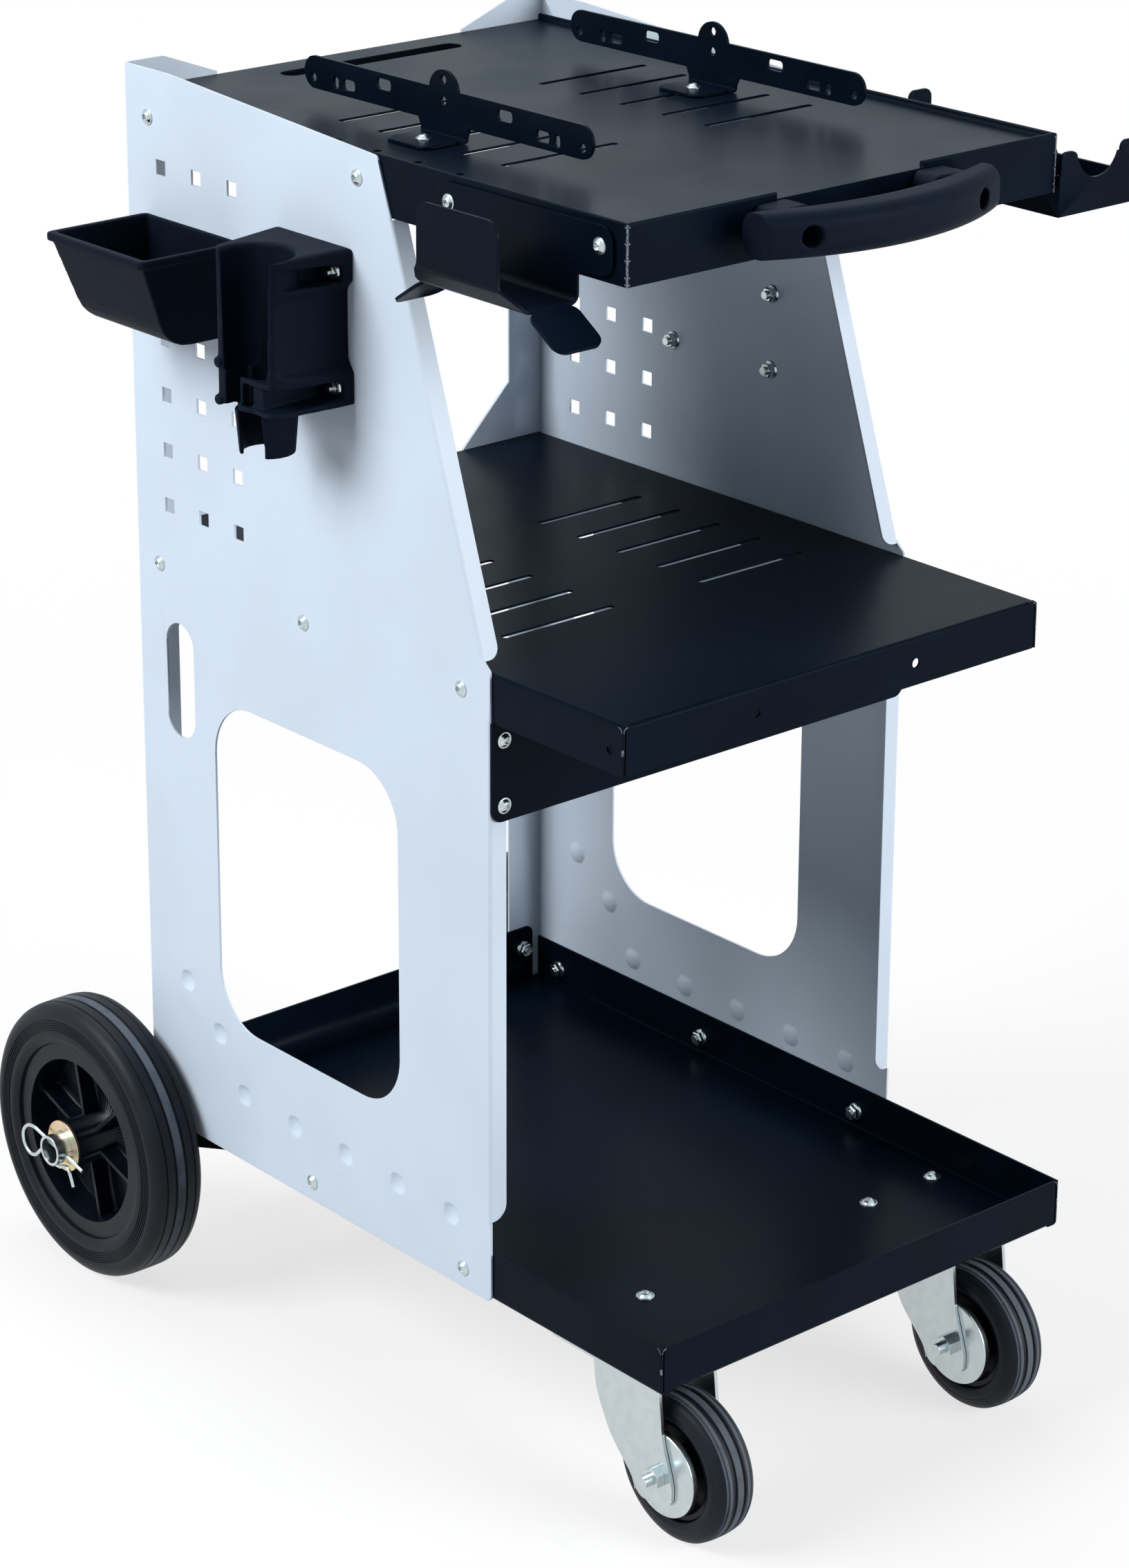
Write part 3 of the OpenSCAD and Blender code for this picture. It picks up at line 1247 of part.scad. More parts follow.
module castor_axle() {
    bolt_r = 4;
    translate([fork_out + eps, 0, 0]) to_right() cylinder(r = 7.5, h = 5.3, $fn = 6);
    translate([-fork_out - 13.5, 0, 0]) to_right() cylinder(r = bolt_r, h = 2 * fork_out + 13.5 + eps * 3);
    translate([-fork_out - eps, 0, 0]) to_left() difference() {
        cylinder(r = 7.5, h = 6.5, $fn = 6);
        translate([0, 0, -1]) cylinder(r = bolt_r + 0.1, h = 9);
    }
    ring_x(-fork_w / 2 + eps, fork_w - 2 * eps, bolt_r + 0.2, bushing_d / 2);
}
guard_r = 29;
guard_t = 1.2;
guard_lip = 3.5;
guard_x = fork_w / 2 - guard_t - 0.3;
// Dished disc beside the wheel; its rolled rim points to the tyre
module castor_guards() both() translate([guard_x, 0, 0]) to_right() rotate_extrude() polygon(soft([
    [bushing_d / 2 + 0.1, 0, 0],
    [guard_r - guard_t, 0, 0.3],
    [guard_r - guard_t, -guard_lip, 0],
    [guard_r, -guard_lip, 0],
    [guard_r, guard_t, guard_t],
    [bushing_d / 2 + 0.1, guard_t, 0]
]));
castor_hub_l = 2 * (guard_x - 0.2);
castor_rim_r = castor_d * 0.34;
module castor_tyre() to_right() tyre(castor_w, castor_rim_r + 0.05, castor_d / 2, 1);
module castor_rim() to_right() difference() {
    union() {
        translate([0, 0, -castor_w * 0.38]) cylinder(r = castor_rim_r, h = castor_w * 0.76);
        translate([0, 0, -castor_hub_l / 2]) cylinder(d = bushing_d + 12, h = castor_hub_l);
    }
    for (s = [-1, 1])
        translate([0, 0, s * castor_w * 0.26]) difference() {
            cylinder(r = castor_rim_r - 4, h = castor_w * 0.4, center = true);
            cylinder(d = bushing_d + 12, h = castor_w * 0.4 + 2, center = true);
        }
    translate([0, 0, -castor_w]) cylinder(d = bushing_d + 2 * run_gap, h = 2 * castor_w);
}

module left_castor_fork() color(zinc_colour) at_castor(-1) castor_fork();
module left_castor_axle() color(zinc_colour) at_castor_axle(-1) castor_axle();
module left_castor_guards() color(zinc_colour) at_castor_axle(-1) castor_guards();
module left_castor_tyre() color(rubber_colour) at_castor_axle(-1) castor_tyre();
module left_castor_rim() color(coat_colour) at_castor_axle(-1) castor_rim();
module right_castor_fork() color(zinc_colour) at_castor(1) castor_fork();
module right_castor_axle() color(zinc_colour) at_castor_axle(1) castor_axle();
module right_castor_guards() color(zinc_colour) at_castor_axle(1) castor_guards();
module right_castor_tyre() color(rubber_colour) at_castor_axle(1) castor_tyre();
module right_castor_rim() color(coat_colour) at_castor_axle(1) castor_rim();

left_side_panel();
right_side_panel();
top_shelf();
middle_shelf();
bottom_tray();
apron_plate();
panel_screws();
panel_nuts();
apron_screws();
apron_nuts();
tray_rear_screws();
tray_rear_nuts();
accessory_screws();
accessory_nuts();
bow_handle();
handle_screws();
handle_nuts();
torch_holder();
torch_holder_screws();
torch_holder_nuts();
accessory_bin();
hose_saddle();
saddle_screws();
saddle_nuts();
cable_bracket();
cable_bracket_screws();
cable_bracket_nuts();
cable_wall_screw();
cable_wall_nut();
left_support_bracket();
left_support_screw();
left_support_nut();
right_support_bracket();
right_support_screw();
right_support_nut();
axle_tube();
axle_carrier();
axle_spacers();
axle_washers();
axle_clips();
left_rear_tyre();
left_rear_rim();
right_rear_tyre();
right_rear_rim();
castor_plates();
castor_king_pins();
castor_screws();
castor_nuts();
left_castor_fork();
left_castor_axle();
left_castor_guards();
left_castor_tyre();
left_castor_rim();
right_castor_fork();
right_castor_axle();
right_castor_guards();
right_castor_tyre();
right_castor_rim();
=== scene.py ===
"""Looks of a welding trolley: finishes, screws, wheels, castors and the stage."""

import json
from math import cos, pi, radians, sin

import bmesh
import bpy
from bpy.props import FloatProperty, FloatVectorProperty, IntProperty, PointerProperty
from mathutils import Matrix, Vector

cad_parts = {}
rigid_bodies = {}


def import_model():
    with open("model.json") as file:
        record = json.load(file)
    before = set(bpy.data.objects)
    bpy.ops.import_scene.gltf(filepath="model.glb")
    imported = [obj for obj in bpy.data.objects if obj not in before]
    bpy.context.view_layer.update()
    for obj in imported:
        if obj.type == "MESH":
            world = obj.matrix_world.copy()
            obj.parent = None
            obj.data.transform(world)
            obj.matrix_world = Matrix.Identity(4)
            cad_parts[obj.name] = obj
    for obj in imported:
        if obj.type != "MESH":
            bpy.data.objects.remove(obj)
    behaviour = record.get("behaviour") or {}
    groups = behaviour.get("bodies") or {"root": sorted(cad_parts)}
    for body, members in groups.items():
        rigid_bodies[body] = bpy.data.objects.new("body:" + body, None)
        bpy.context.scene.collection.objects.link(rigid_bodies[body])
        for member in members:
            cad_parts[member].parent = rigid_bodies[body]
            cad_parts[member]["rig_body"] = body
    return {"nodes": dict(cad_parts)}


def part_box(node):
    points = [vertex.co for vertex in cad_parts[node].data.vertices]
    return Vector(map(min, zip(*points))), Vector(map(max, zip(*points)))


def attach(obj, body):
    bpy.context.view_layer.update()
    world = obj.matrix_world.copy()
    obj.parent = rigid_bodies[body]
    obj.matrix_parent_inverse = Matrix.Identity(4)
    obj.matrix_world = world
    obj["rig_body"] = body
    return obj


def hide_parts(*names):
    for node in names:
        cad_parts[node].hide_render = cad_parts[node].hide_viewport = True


bl_info = {
    "name": "Welding trolley",
    "version": (1, 0, 0),
    "blender": (4, 5, 0),
    "location": "3D View > Sidebar > Trolley",
    "description": "Finishes, wheels and fasteners of a workshop trolley",
    "category": "Object",
}

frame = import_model()
NODES = frame["nodes"]
MM = 0.001
TURN = 2 * pi

# Degrees over which edges are rounded, and over which those of a plain copy stay sharp
ROUNDED_OVER = 28
SHARP_OVER = 30
# Corners closer than this are made one
MERGED = 0.002 * MM


# Node trees ----------------------------------------------------------------------------


class Term:
    """A socket that takes part in arithmetic."""

    def __init__(self, graph, socket):
        self.graph = graph
        self.socket = socket

    def math(self, operation, *values):
        """Adds a Math node that works on these values."""
        return self.graph.node(
            "ShaderNodeMath", {"operation": operation}, dict(enumerate(values))
        )

    def __add__(self, other):
        return self.math("ADD", self, other)

    def __sub__(self, other):
        return self.math("SUBTRACT", self, other)

    def __mul__(self, other):
        return self.math("MULTIPLY", self, other)

    def __truediv__(self, other):
        return self.math("DIVIDE", self, other)

    def __pow__(self, other):
        return self.math("POWER", self, other)

    __radd__ = __add__
    __rmul__ = __mul__


class Graph:
    """A node tree that is written as expressions."""

    def __init__(self, tree):
        self.tree = tree
        tree.nodes.clear()

    def node(self, kind, settings=None, sockets=None, out=0):
        """Adds a node: its settings come first, then the values or links of its sockets."""
        made = self.tree.nodes.new(kind)
        for key, value in (settings or {}).items():
            if key == "stops":
                ramp = made.color_ramp.elements
                while len(ramp) < len(value):
                    ramp.new(0.5)
                for stop, (place, colour) in zip(ramp, value):
                    stop.position = place
                    stop.color = (*colour, 1)
            else:
                setattr(made, key, value)
        for key, value in (sockets or {}).items():
            self.feed(made.inputs[key], value)
        return Term(self, made.outputs[out]) if made.outputs else made

    def feed(self, socket, value):
        """Links a term to a socket, or sets the socket's own value."""
        if isinstance(value, Term):
            self.tree.links.new(value.socket, socket)
        elif socket.type == "RGBA" and len(value) == 3:
            socket.default_value = (*value, 1)
        else:
            socket.default_value = value


class Finish(Graph):
    """A surface finish: one Principled shader on Object coordinates."""

    def __init__(self, name, **constants):
        self.material = bpy.data.materials.new(name)
        self.material.use_nodes = True
        super().__init__(self.material.node_tree)
        self.shader = self.tree.nodes.new("ShaderNodeBsdfPrincipled")
        output = self.tree.nodes.new("ShaderNodeOutputMaterial")
        self.tree.links.new(self.shader.outputs[0], output.inputs["Surface"])
        self.place = self.node("ShaderNodeTexCoord", out="Object")
        for key, value in constants.items():
            self.set(key.replace("_", " "), value)

    def set(self, key, value):
        """Sets or links a socket of the shader."""
        self.feed(self.shader.inputs[key], value)

    def noise(self, size, detail):
        """Noise whose grains are about this size, in metres."""
        sockets = {"Vector": self.place, "Scale": 1 / size, "Detail": detail}
        return self.node("ShaderNodeTexNoise", None, sockets)

    def axes(self):
        """The three Object coordinates."""
        split = self.node("ShaderNodeSeparateXYZ", None, {0: self.place})
        return [Term(self, split.socket.node.outputs[i]) for i in range(3)]

    def ramp(self, value, low, high, to_low=0.0, to_high=1.0):
        """Soft step of a value from one range to another."""
        sockets = {0: value, 1: low, 2: high, 3: to_low, 4: to_high}
        return self.node(
            "ShaderNodeMapRange", {"interpolation_type": "SMOOTHSTEP"}, sockets
        )

    def mix(self, share, one, other):
        """Colour between two others."""
        return self.node(
            "ShaderNodeMix", {"data_type": "RGBA"}, {0: share, 6: one, 7: other}, 2
        )

    def colours(self, value, stops):
        """Colour ramp."""
        return self.node("ShaderNodeValToRGB", {"stops": stops}, {0: value})

    def bump(self, height, depth, edge=0.0):
        """Relief of this depth on edges rounded to this radius, in metres."""
        sockets = {"Height": height, "Distance": depth, "Strength": 1.0}
        if edge:
            sockets["Normal"] = self.node("ShaderNodeBevel", {"samples": 6}, {"Radius": edge})
        return self.node("ShaderNodeBump", None, sockets)


def tone(colour, factor):
    """A colour made lighter or darker."""
    return tuple(min(1.0, c * factor) for c in colour[:3])


# Finishes ------------------------------------------------------------------------------


def panel_paint(look):
    """Satin powder coat of the side panels: orange peel and a faint cloudiness."""
    f = Finish("panel_paint", IOR=1.5, Specular_IOR_Level=0.4)
    peel = f.noise(1.1 * MM, 1.0)
    cloud = f.ramp(f.noise(90 * MM, 2.0), 0.35, 0.65)
    f.set(
        "Base Color", f.mix(cloud, tone(look.panel, 0.975), tone(look.panel, 1.015))
    )
    f.set("Roughness", 0.34 + peel * 0.1 + cloud * 0.03)
    f.set("Normal", f.bump(peel, 0.012 * MM, 0.5 * MM))
    return f.material


def black_paint(look):
    """Black powder coat of the shelves and brackets, with a fine texture."""
    f = Finish(
        "black_paint", IOR=1.5, Specular_IOR_Level=0.045, Specular_Tint=(0.72, 0.87, 1.0, 1)
    )
    peel = f.noise(0.8 * MM, 2.0)
    cloud = f.ramp(f.noise(70 * MM, 2.0), 0.3, 0.7)
    f.set("Base Color", f.mix(cloud, look.coat[:3], tone(look.coat, 1.35)))
    f.set("Roughness", 0.24 + peel * 0.12 + cloud * 0.05)
    f.set("Normal", f.bump(peel, 0.014 * MM, 0.6 * MM))
    return f.material


def black_moulding(look):
    """Moulded plastic with a spark-eroded grain."""
    f = Finish(
        "black_moulding", IOR=1.46, Specular_IOR_Level=0.06, Specular_Tint=(0.72, 0.85, 1.0, 1)
    )
    grain = f.noise(0.5 * MM, 3.0)
    flow = f.ramp(f.noise(25 * MM, 3.0), 0.3, 0.7)
    f.set("Base Color", f.mix(flow, look.moulding[:3], tone(look.moulding, 1.25)))
    f.set("Roughness", 0.46 + grain * 0.14 + flow * 0.04)
    f.set("Normal", f.bump(grain, 0.03 * MM))
    return f.material


def rim_moulding(look):
    """Glossier plastic of the wheels' rims."""
    f = Finish("rim_moulding", IOR=1.46, Specular_IOR_Level=0.2)
    grain = f.noise(0.7 * MM, 2.0)
    flow = f.ramp(f.noise(18 * MM, 3.0), 0.35, 0.7)
    f.set("Base Color", f.mix(flow, tone(look.moulding, 0.55), tone(look.moulding, 0.8)))
    f.set("Roughness", 0.24 + grain * 0.1 + flow * 0.08)
    f.set("Normal", f.bump(grain, 0.008 * MM, 0.7 * MM))
    return f.material


def zinc(look):
    """Bright zinc plating: faint blotches and rolling marks."""
    f = Finish("zinc", Metallic=1.0)
    blotch = f.ramp(f.noise(9 * MM, 4.0), 0.3, 0.75)
    grain = f.noise(0.6 * MM, 2.0)
    f.set("Base Color", f.mix(blotch, look.zinc[:3], tone(look.zinc, 0.93)))
    f.set("Roughness", 0.2 + blotch * 0.06 + grain * 0.03)
    f.set("Normal", f.bump(grain, 0.0015 * MM, 0.5 * MM))
    return f.material


def yellow_zinc():
    """Yellow zinc plating, whose film shades from gold to a faint pink and green."""
    f = Finish("yellow_zinc", Metallic=1.0)
    film = f.noise(6 * MM, 3.0)
    stops = [
        (0.3, (0.74, 0.62, 0.3)),
        (0.45, (0.8, 0.66, 0.36)),
        (0.55, (0.78, 0.5, 0.42)),
        (0.68, (0.6, 0.68, 0.4)),
    ]
    f.set("Base Color", f.colours(film, stops))
    f.set("Roughness", 0.24 + film * 0.12)
    return f.material


def tread_rubber(look, name, middle, radius, stripes, knurl, knurled):
    """Rubber of a tyre: pale stripes round the tread, a knurled band and dust."""
    f = Finish(name, IOR=1.5, Specular_IOR_Level=0.2)
    x, y, z = f.axes()
    across = x - middle[0]
    out_y, out_z = y - middle[1], z - middle[2]
    reach = (out_y * out_y + out_z * out_z) ** 0.5
    tread = f.ramp(reach, radius - 3.5 * MM, radius - 1.5 * MM)
    soft, fade = 0.4 * MM, 0.6 * MM
    pale = 0.0
    for low, high in stripes:
        inside = f.ramp(across, low, low + soft) * f.ramp(across, high, high - soft)
        pale = inside + pale
    pale = pale * tread
    dust = f.ramp(f.noise(14 * MM, 5.0), 0.45, 0.75)
    grit = f.noise(0.7 * MM, 3.0)
    black = f.mix(dust * 0.7, tone(look.rubber, 0.8), tone(look.rubber, 1.6))
    grey = f.mix(dust, look.stripe[:3], tone(look.stripe, 0.7))
    f.set("Base Color", f.mix(pale, black, grey))
    f.set("Roughness", 0.4 + grit * 0.16 + pale * 0.25 + dust * 0.08)
    turn = f.node("ShaderNodeMath", {"operation": "ARCTAN2"}, {0: out_z, 1: out_y})
    aside = across.math("ABSOLUTE", across)
    inner, outer = knurled
    band = f.ramp(aside, inner, inner + fade) * f.ramp(aside, outer, outer - fade)
    slant = (turn * (radius / knurl) + across / knurl * 0.6) * TURN
    ridges = slant.math("SINE", slant)
    relief = grit * 0.3 + ridges * band * tread * 0.7
    f.set("Normal", f.bump(relief, 0.08 * MM))
    return f.material


def weld_metal():
    """Tack welds, stitches and seams in black paint, with a pale grey mixed in by noise as a
    painted highlight.
    """
    f = Finish("weld_metal", Metallic=0.0, IOR=1.5)
    grain = f.noise(0.9 * MM, 3.0)
    # Painted highlight: the pale grey that noise mixes into the black paint stands for the glints
    # on welds, stitches and fold rims
    painted, painted_glint = (0.02, 0.026, 0.036), (0.2, 0.23, 0.28)
    f.set("Base Color", f.mix(f.ramp(grain, 0.35, 0.6), painted, painted_glint))
    f.set("Roughness", 0.2 + grain * 0.2)
    f.set("Normal", f.bump(grain, 0.05 * MM))
    return f.material


# Shapes --------------------------------------------------------------------------------


class Shape:
    """A mesh in the making, in metres and in the trolley's own frame."""

    def __init__(self):
        self.bm = bmesh.new()

    def loft(self, rings, closed=False, ends=True):
        """Joins rings of as many points each, and caps the ends."""
        made = [[self.bm.verts.new(p) for p in ring] for ring in rings]
        count = len(made)
        for i in range(count if closed else count - 1):
            here, there = made[i], made[(i + 1) % count]
            for j in range(len(here)):
                k = (j + 1) % len(here)
                self.bm.faces.new((here[j], here[k], there[k], there[j]))
        if ends and not closed:
            for ring in (made[0], made[-1]):
                self.bm.faces.new(ring)
        return self

    def lathe(self, profile, middle, steps, axis=0, closed=True):
        """Turns a profile of (distance along the axis, radius) round an axis."""
        u, v = [i for i in range(3) if i != axis]
        rings = []
        for along, radius in profile:
            ring = []
            for i in range(steps):
                p = Vector(middle)
                p[axis] += along
                p[u] += radius * cos(TURN * i / steps)
                p[v] += radius * sin(TURN * i / steps)
                ring.append(p)
            rings.append(ring)
        return self.loft(rings, closed, ends=not closed)

    def slab(self, outline, plane, low, high):
        """A plate: an outline in the plane across an axis, from low to high along it."""
        u, v = [i for i in range(3) if i != plane]
        rings = []
        for at in (low, high):
            ring = []
            for a, b in outline:
                p = Vector((0, 0, 0))
                p[plane], p[u], p[v] = at, a, b
                ring.append(p)
            rings.append(ring)
        return self.loft(rings)

    def tube(self, path, radius, sides):
        """A round wire along a path of points."""
        rings = []
        side = None
        for i, p in enumerate(path):
            ahead = (path[min(i + 1, len(path) - 1)] - path[max(i - 1, 0)]).normalized()
            side = side or ahead.orthogonal().normalized()
            side = (side - ahead * side.dot(ahead)).normalized()
            up = ahead.cross(side)
            turns = [TURN * j / sides for j in range(sides)]
            rings.append([p + (side * cos(t) + up * sin(t)) * radius for t in turns])
        return self.loft(rings)

    def object(self, name, finish, smooth=32):
        """Makes the object, with its faces outwards and its soft edges smooth."""
        bmesh.ops.remove_doubles(self.bm, verts=self.bm.verts, dist=MERGED)
        bmesh.ops.recalc_face_normals(self.bm, faces=self.bm.faces)
        mesh = bpy.data.meshes.new(name)
        self.bm.to_mesh(mesh)
        self.bm.free()
        mesh.materials.append(finish)
        made = bpy.data.objects.new(name, mesh)
        bpy.context.scene.collection.objects.link(made)
        smoothen(made, smooth)
        return made


def smoothen(thing, angle):
    """Smooth shading, with edges over this angle sharp."""
    mesh = thing.data
    mesh.polygons.foreach_set("use_smooth", [True] * len(mesh.polygons))
    mesh.set_sharp_from_angle(angle=radians(angle))
    mesh.update()


def settle(thing):
    """Applies what modifiers the object has and leaves a plain mesh."""
    depsgraph = bpy.context.evaluated_depsgraph_get()
    mesh = bpy.data.meshes.new_from_object(thing.evaluated_get(depsgraph))
    thing.modifiers.clear()
    thing.data = mesh
    return thing


def bevel(thing, width):
    """Rounds the sharp edges."""
    m = thing.modifiers.new("Rounding", "BEVEL")
    m.width = width
    m.segments = 2
    m.limit_method = "ANGLE"
    m.angle_limit = radians(ROUNDED_OVER)
    m.use_clamp_overlap = False
    m.harden_normals = True
    return settle(thing)


def dress(thing, body, node=None):
    """Lets a piece ride on its body and stand for a CAD node."""
    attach(thing, body)
    if node:
        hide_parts(node)
    return thing


def copied(node, name, finish, whole=True):
    """A copy of a CAD node's mesh in one finish: its corners are joined, and its flats too
    if whole."""
    shape = Shape()
    bm = shape.bm
    bm.from_mesh(NODES[node].data)
    bmesh.ops.remove_doubles(bm, verts=bm.verts, dist=0.004 * MM)
    bmesh.ops.dissolve_degenerate(bm, edges=bm.edges, dist=MERGED)
    if whole:
        bmesh.ops.dissolve_limit(bm, angle_limit=radians(0.3), verts=bm.verts, edges=bm.edges)
    for face in bm.faces:
        face.material_index = 0
    return shape.object(node + name, finish, SHARP_OVER)


def flatten_normals(thing):
    """Lets the flats keep their even shade up to their edges."""
    m = thing.modifiers.new("Normals", "WEIGHTED_NORMAL")
    m.keep_sharp = True
    m.weight = 60
    return settle(thing)


def rounded(node, width, finish):
    """Stands a copy with rounded edges in for a CAD node."""
    piece = copied(node, "_rounded", finish)
    bevel(piece, width)
    return dress(flatten_normals(piece), NODES[node]["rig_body"], node)


def plain(node, finish, name="_rounded"):
    """Stands a copy in for a CAD node. Its edges are rounded by the finish alone, because
    they are too close together for a bevel."""
    piece = flatten_normals(copied(node, name, finish, whole=False))
    return dress(piece, NODES[node]["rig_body"], node)


def moulded(node, melting, finish):
    """Stands a copy whose edges are melted round by so many steps in for a CAD node."""
    piece = copied(node, "_moulded", finish, whole=False)
    skin = piece.modifiers.new("Skin", "REMESH")
    skin.mode = "VOXEL"
    skin.voxel_size = 0.9 * MM
    skin.use_smooth_shade = True
    melt = piece.modifiers.new("Melt", "SMOOTH")
    melt.factor = 0.5
    melt.iterations = melting
    lighter = piece.modifiers.new("Lighter", "DECIMATE")
    lighter.ratio = 0.35
    settle(piece)
    smoothen(piece, 55)
    return dress(piece, NODES[node]["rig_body"], node)


def tyre_sizes(wheel):
    """Middle of a wheel, and half width, radius and seat radius of its tyre in millimetres."""
    low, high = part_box(wheel + "_tyre")
    rim_low, rim_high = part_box(wheel + "_rim")
    half, radius = (high.x - low.x) / 2 / MM, (high.z - low.z) / 2 / MM
    return (low + high) / 2, half, radius, (rim_high.z - rim_low.z) / 2 / MM + 0.05


def tyre_shape(wall, middle, steps):
    """A tyre from half its profile, in millimetres, mirrored and turned round the axle."""
    profile = wall + [(-a, r) for a, r in reversed(wall)]
    return Shape().lathe([(a * MM, r * MM) for a, r in profile], middle, steps)


def solids(node):
    """The corners of each loose solid of a CAD node."""
    bm = bmesh.new()
    bm.from_mesh(NODES[node].data)
    bmesh.ops.remove_doubles(bm, verts=bm.verts, dist=MERGED)
    left, found = set(bm.verts), []
    while left:
        group, queue = [], [left.pop()]
        while queue:
            v = queue.pop()
            group.append(v.co.copy())
            for edge in v.link_edges:
                other = edge.other_vert(v)
                if other in left:
                    left.remove(other)
                    queue.append(other)
        found.append(group)
    bm.free()
    return sorted(found, key=lambda g: tuple(round(c, 4) for c in sum(g, Vector()) / len(g)))


def fastener(points):
    """Low and high corner, axis, middle, width, radii of the two ends and places of the
    widest part along the axis, of a screw or nut, read from its corners."""
    low = Vector([min(p[i] for p in points) for i in range(3)])
    high = Vector([max(p[i] for p in points) for i in range(3)])
    size = high - low
    short, mean, long = sorted(range(3), key=lambda i: size[i])
    axis = short if size[mean] - size[short] > size[long] - size[mean] else long
    middle = (low + high) / 2
    width = size[mean]

    def radius(p):
        off = p - middle
        off[axis] = 0
        return off.length

    ends = [
        max(radius(p) for p in points if abs(p[axis] - end[axis]) < 0.05 * MM)
        for end in (low, high)
    ]
    wide = [p[axis] for p in points if radius(p) > width * 0.49]
    return low, high, axis, middle, width, ends, wide


# Geometry Nodes ------------------------------------------------------------------------


# Sides of the round and of the smaller round forms; the largest turn by chance
ROUND_SIDES, SHANK_SIDES = 32, 16
ROUGH_TURN = 6.28


class Pattern(Graph):
    """A Geometry Nodes tree with named inputs for its sizes."""

    def __init__(self, name, sizes):
        super().__init__(bpy.data.node_groups.new(name, "GeometryNodeTree"))
        face = self.tree.interface
        face.new_socket("Geometry", in_out="INPUT", socket_type="NodeSocketGeometry")
        self.names = {}
        for key, kind in sizes.items():
            socket = face.new_socket(key, in_out="INPUT", socket_type="NodeSocket" + kind)
            self.names[key] = socket.identifier
        face.new_socket("Geometry", in_out="OUTPUT", socket_type="NodeSocketGeometry")
        self.inlet = self.tree.nodes.new("NodeGroupInput")
        self.outlet = self.tree.nodes.new("NodeGroupOutput")

    def input(self, key):
        """One of the named inputs."""
        return Term(self, self.inlet.outputs[key])

    def join(self, *parts):
        """Joins geometries."""
        made = self.tree.nodes.new("GeometryNodeJoinGeometry")
        for part in reversed(parts):
            self.tree.links.new(part.socket, made.inputs[0])
        return Term(self, made.outputs[0])

    def cylinder(self, sides, radius, depth, rows=1, fill=1, z=0.0):
        """An upright cylinder whose foot stands at z."""
        sockets = {
            "Vertices": sides,
            "Side Segments": rows,
            "Fill Segments": fill,
            "Radius": radius,
            "Depth": depth,
        }
        made = self.node("GeometryNodeMeshCylinder", None, sockets)
        lift = self.node("ShaderNodeCombineXYZ", None, {2: depth * 0.5 + z})
        return self.node("GeometryNodeTransform", None, {"Geometry": made, "Translation": lift})

    def cone(self, sides, low, high, depth, z=0.0):
        """An upright cone whose foot stands at z."""
        sockets = {"Vertices": sides, "Radius Top": high, "Radius Bottom": low, "Depth": depth}
        made = self.node("GeometryNodeMeshCone", None, sockets)
        lift = self.node("ShaderNodeCombineXYZ", None, {2: z})
        return self.node("GeometryNodeTransform", None, {"Geometry": made, "Translation": lift})

    def finish(self, geometry, material):
        """Realizes the instances, sets the material and ends the tree."""
        real = self.node("GeometryNodeRealizeInstances", None, {"Geometry": geometry})
        done = self.node(
            "GeometryNodeSetMaterial", None, {"Geometry": real, "Material": material}
        )
        self.tree.links.new(done.socket, self.outlet.inputs[0])

    def place(self, part, seed):
        """Puts a part on each point, turned as the point says and by chance about its axis."""
        turn = self.node(
            "GeometryNodeInputNamedAttribute", {"data_type": "FLOAT_VECTOR"}, {"Name": "turn"}
        )
        turn = self.node("FunctionNodeEulerToRotation", None, {0: turn})
        sockets = {2: 0.0, 3: ROUGH_TURN, "Seed": seed}
        chance = self.node("FunctionNodeRandomValue", {"data_type": "FLOAT"}, sockets, 1)
        spin = self.node("ShaderNodeCombineXYZ", None, {2: chance})
        spin = self.node("FunctionNodeEulerToRotation", None, {0: spin})
        turn = self.node(
            "FunctionNodeRotateRotation", {"rotation_space": "LOCAL"}, {0: turn, 1: spin}
        )
        sockets = {"Points": self.input("Geometry"), "Instance": part, "Rotation": turn}
        return self.node("GeometryNodeInstanceOnPoints", None, sockets)


def screw_pattern():
    """Button head screws with a flange, a hexagon socket and a threaded shank."""
    sizes = dict.fromkeys(
        ("Head Width", "Head Height", "Shank Radius", "Shank Length", "Pitch"), "Float"
    )
    p = Pattern("Screws", {**sizes, "Material": "Material"})
    width, height = p.input("Head Width"), p.input("Head Height")
    flange = p.cylinder(ROUND_SIDES, width * 0.5, height * 0.2)
    dome = p.cylinder(ROUND_SIDES, width * 0.43, height * 0.82, 3, 5, height * 0.18)
    place = p.node("GeometryNodeInputPosition")
    split = p.node("ShaderNodeSeparateXYZ", None, {0: place})
    x, y, z = [Term(p, split.socket.node.outputs[i]) for i in range(3)]
    share = (x * x + y * y) / (width * width * 0.185)
    drop = (z / height) * share * share * height * -0.52
    pull = (z / height) * (z / height) * -0.16
    offset = p.node("ShaderNodeCombineXYZ", None, {0: x * pull, 1: y * pull, 2: drop})
    dome = p.node("GeometryNodeSetPosition", None, {"Geometry": dome, "Offset": offset})
    socket = p.cylinder(6, width * 0.21, height, z=height * 0.42)
    head = p.node(
        "GeometryNodeMeshBoolean", {"operation": "DIFFERENCE"}, {"Mesh 1": dome, "Mesh 2": socket}
    )
    length, radius, pitch = p.input("Shank Length"), p.input("Shank Radius"), p.input("Pitch")
    rows = p.node("FunctionNodeFloatToInt", None, {0: length / pitch * 2})
    shank = p.cylinder(SHANK_SIDES, radius, length, rows)
    phase = z / pitch * 2 * pi
    cut = phase.math("SINE", phase) * -0.05 - 0.05
    thread = p.node("ShaderNodeCombineXYZ", None, {0: x * cut, 1: y * cut})
    shank = p.node("GeometryNodeSetPosition", None, {"Geometry": shank, "Offset": thread})
    down = p.node("ShaderNodeCombineXYZ", None, {2: length * -1})
    shank = p.node("GeometryNodeTransform", None, {"Geometry": shank, "Translation": down})
    p.finish(p.place(p.join(flange, head, shank), 3), p.input("Material"))
    return p


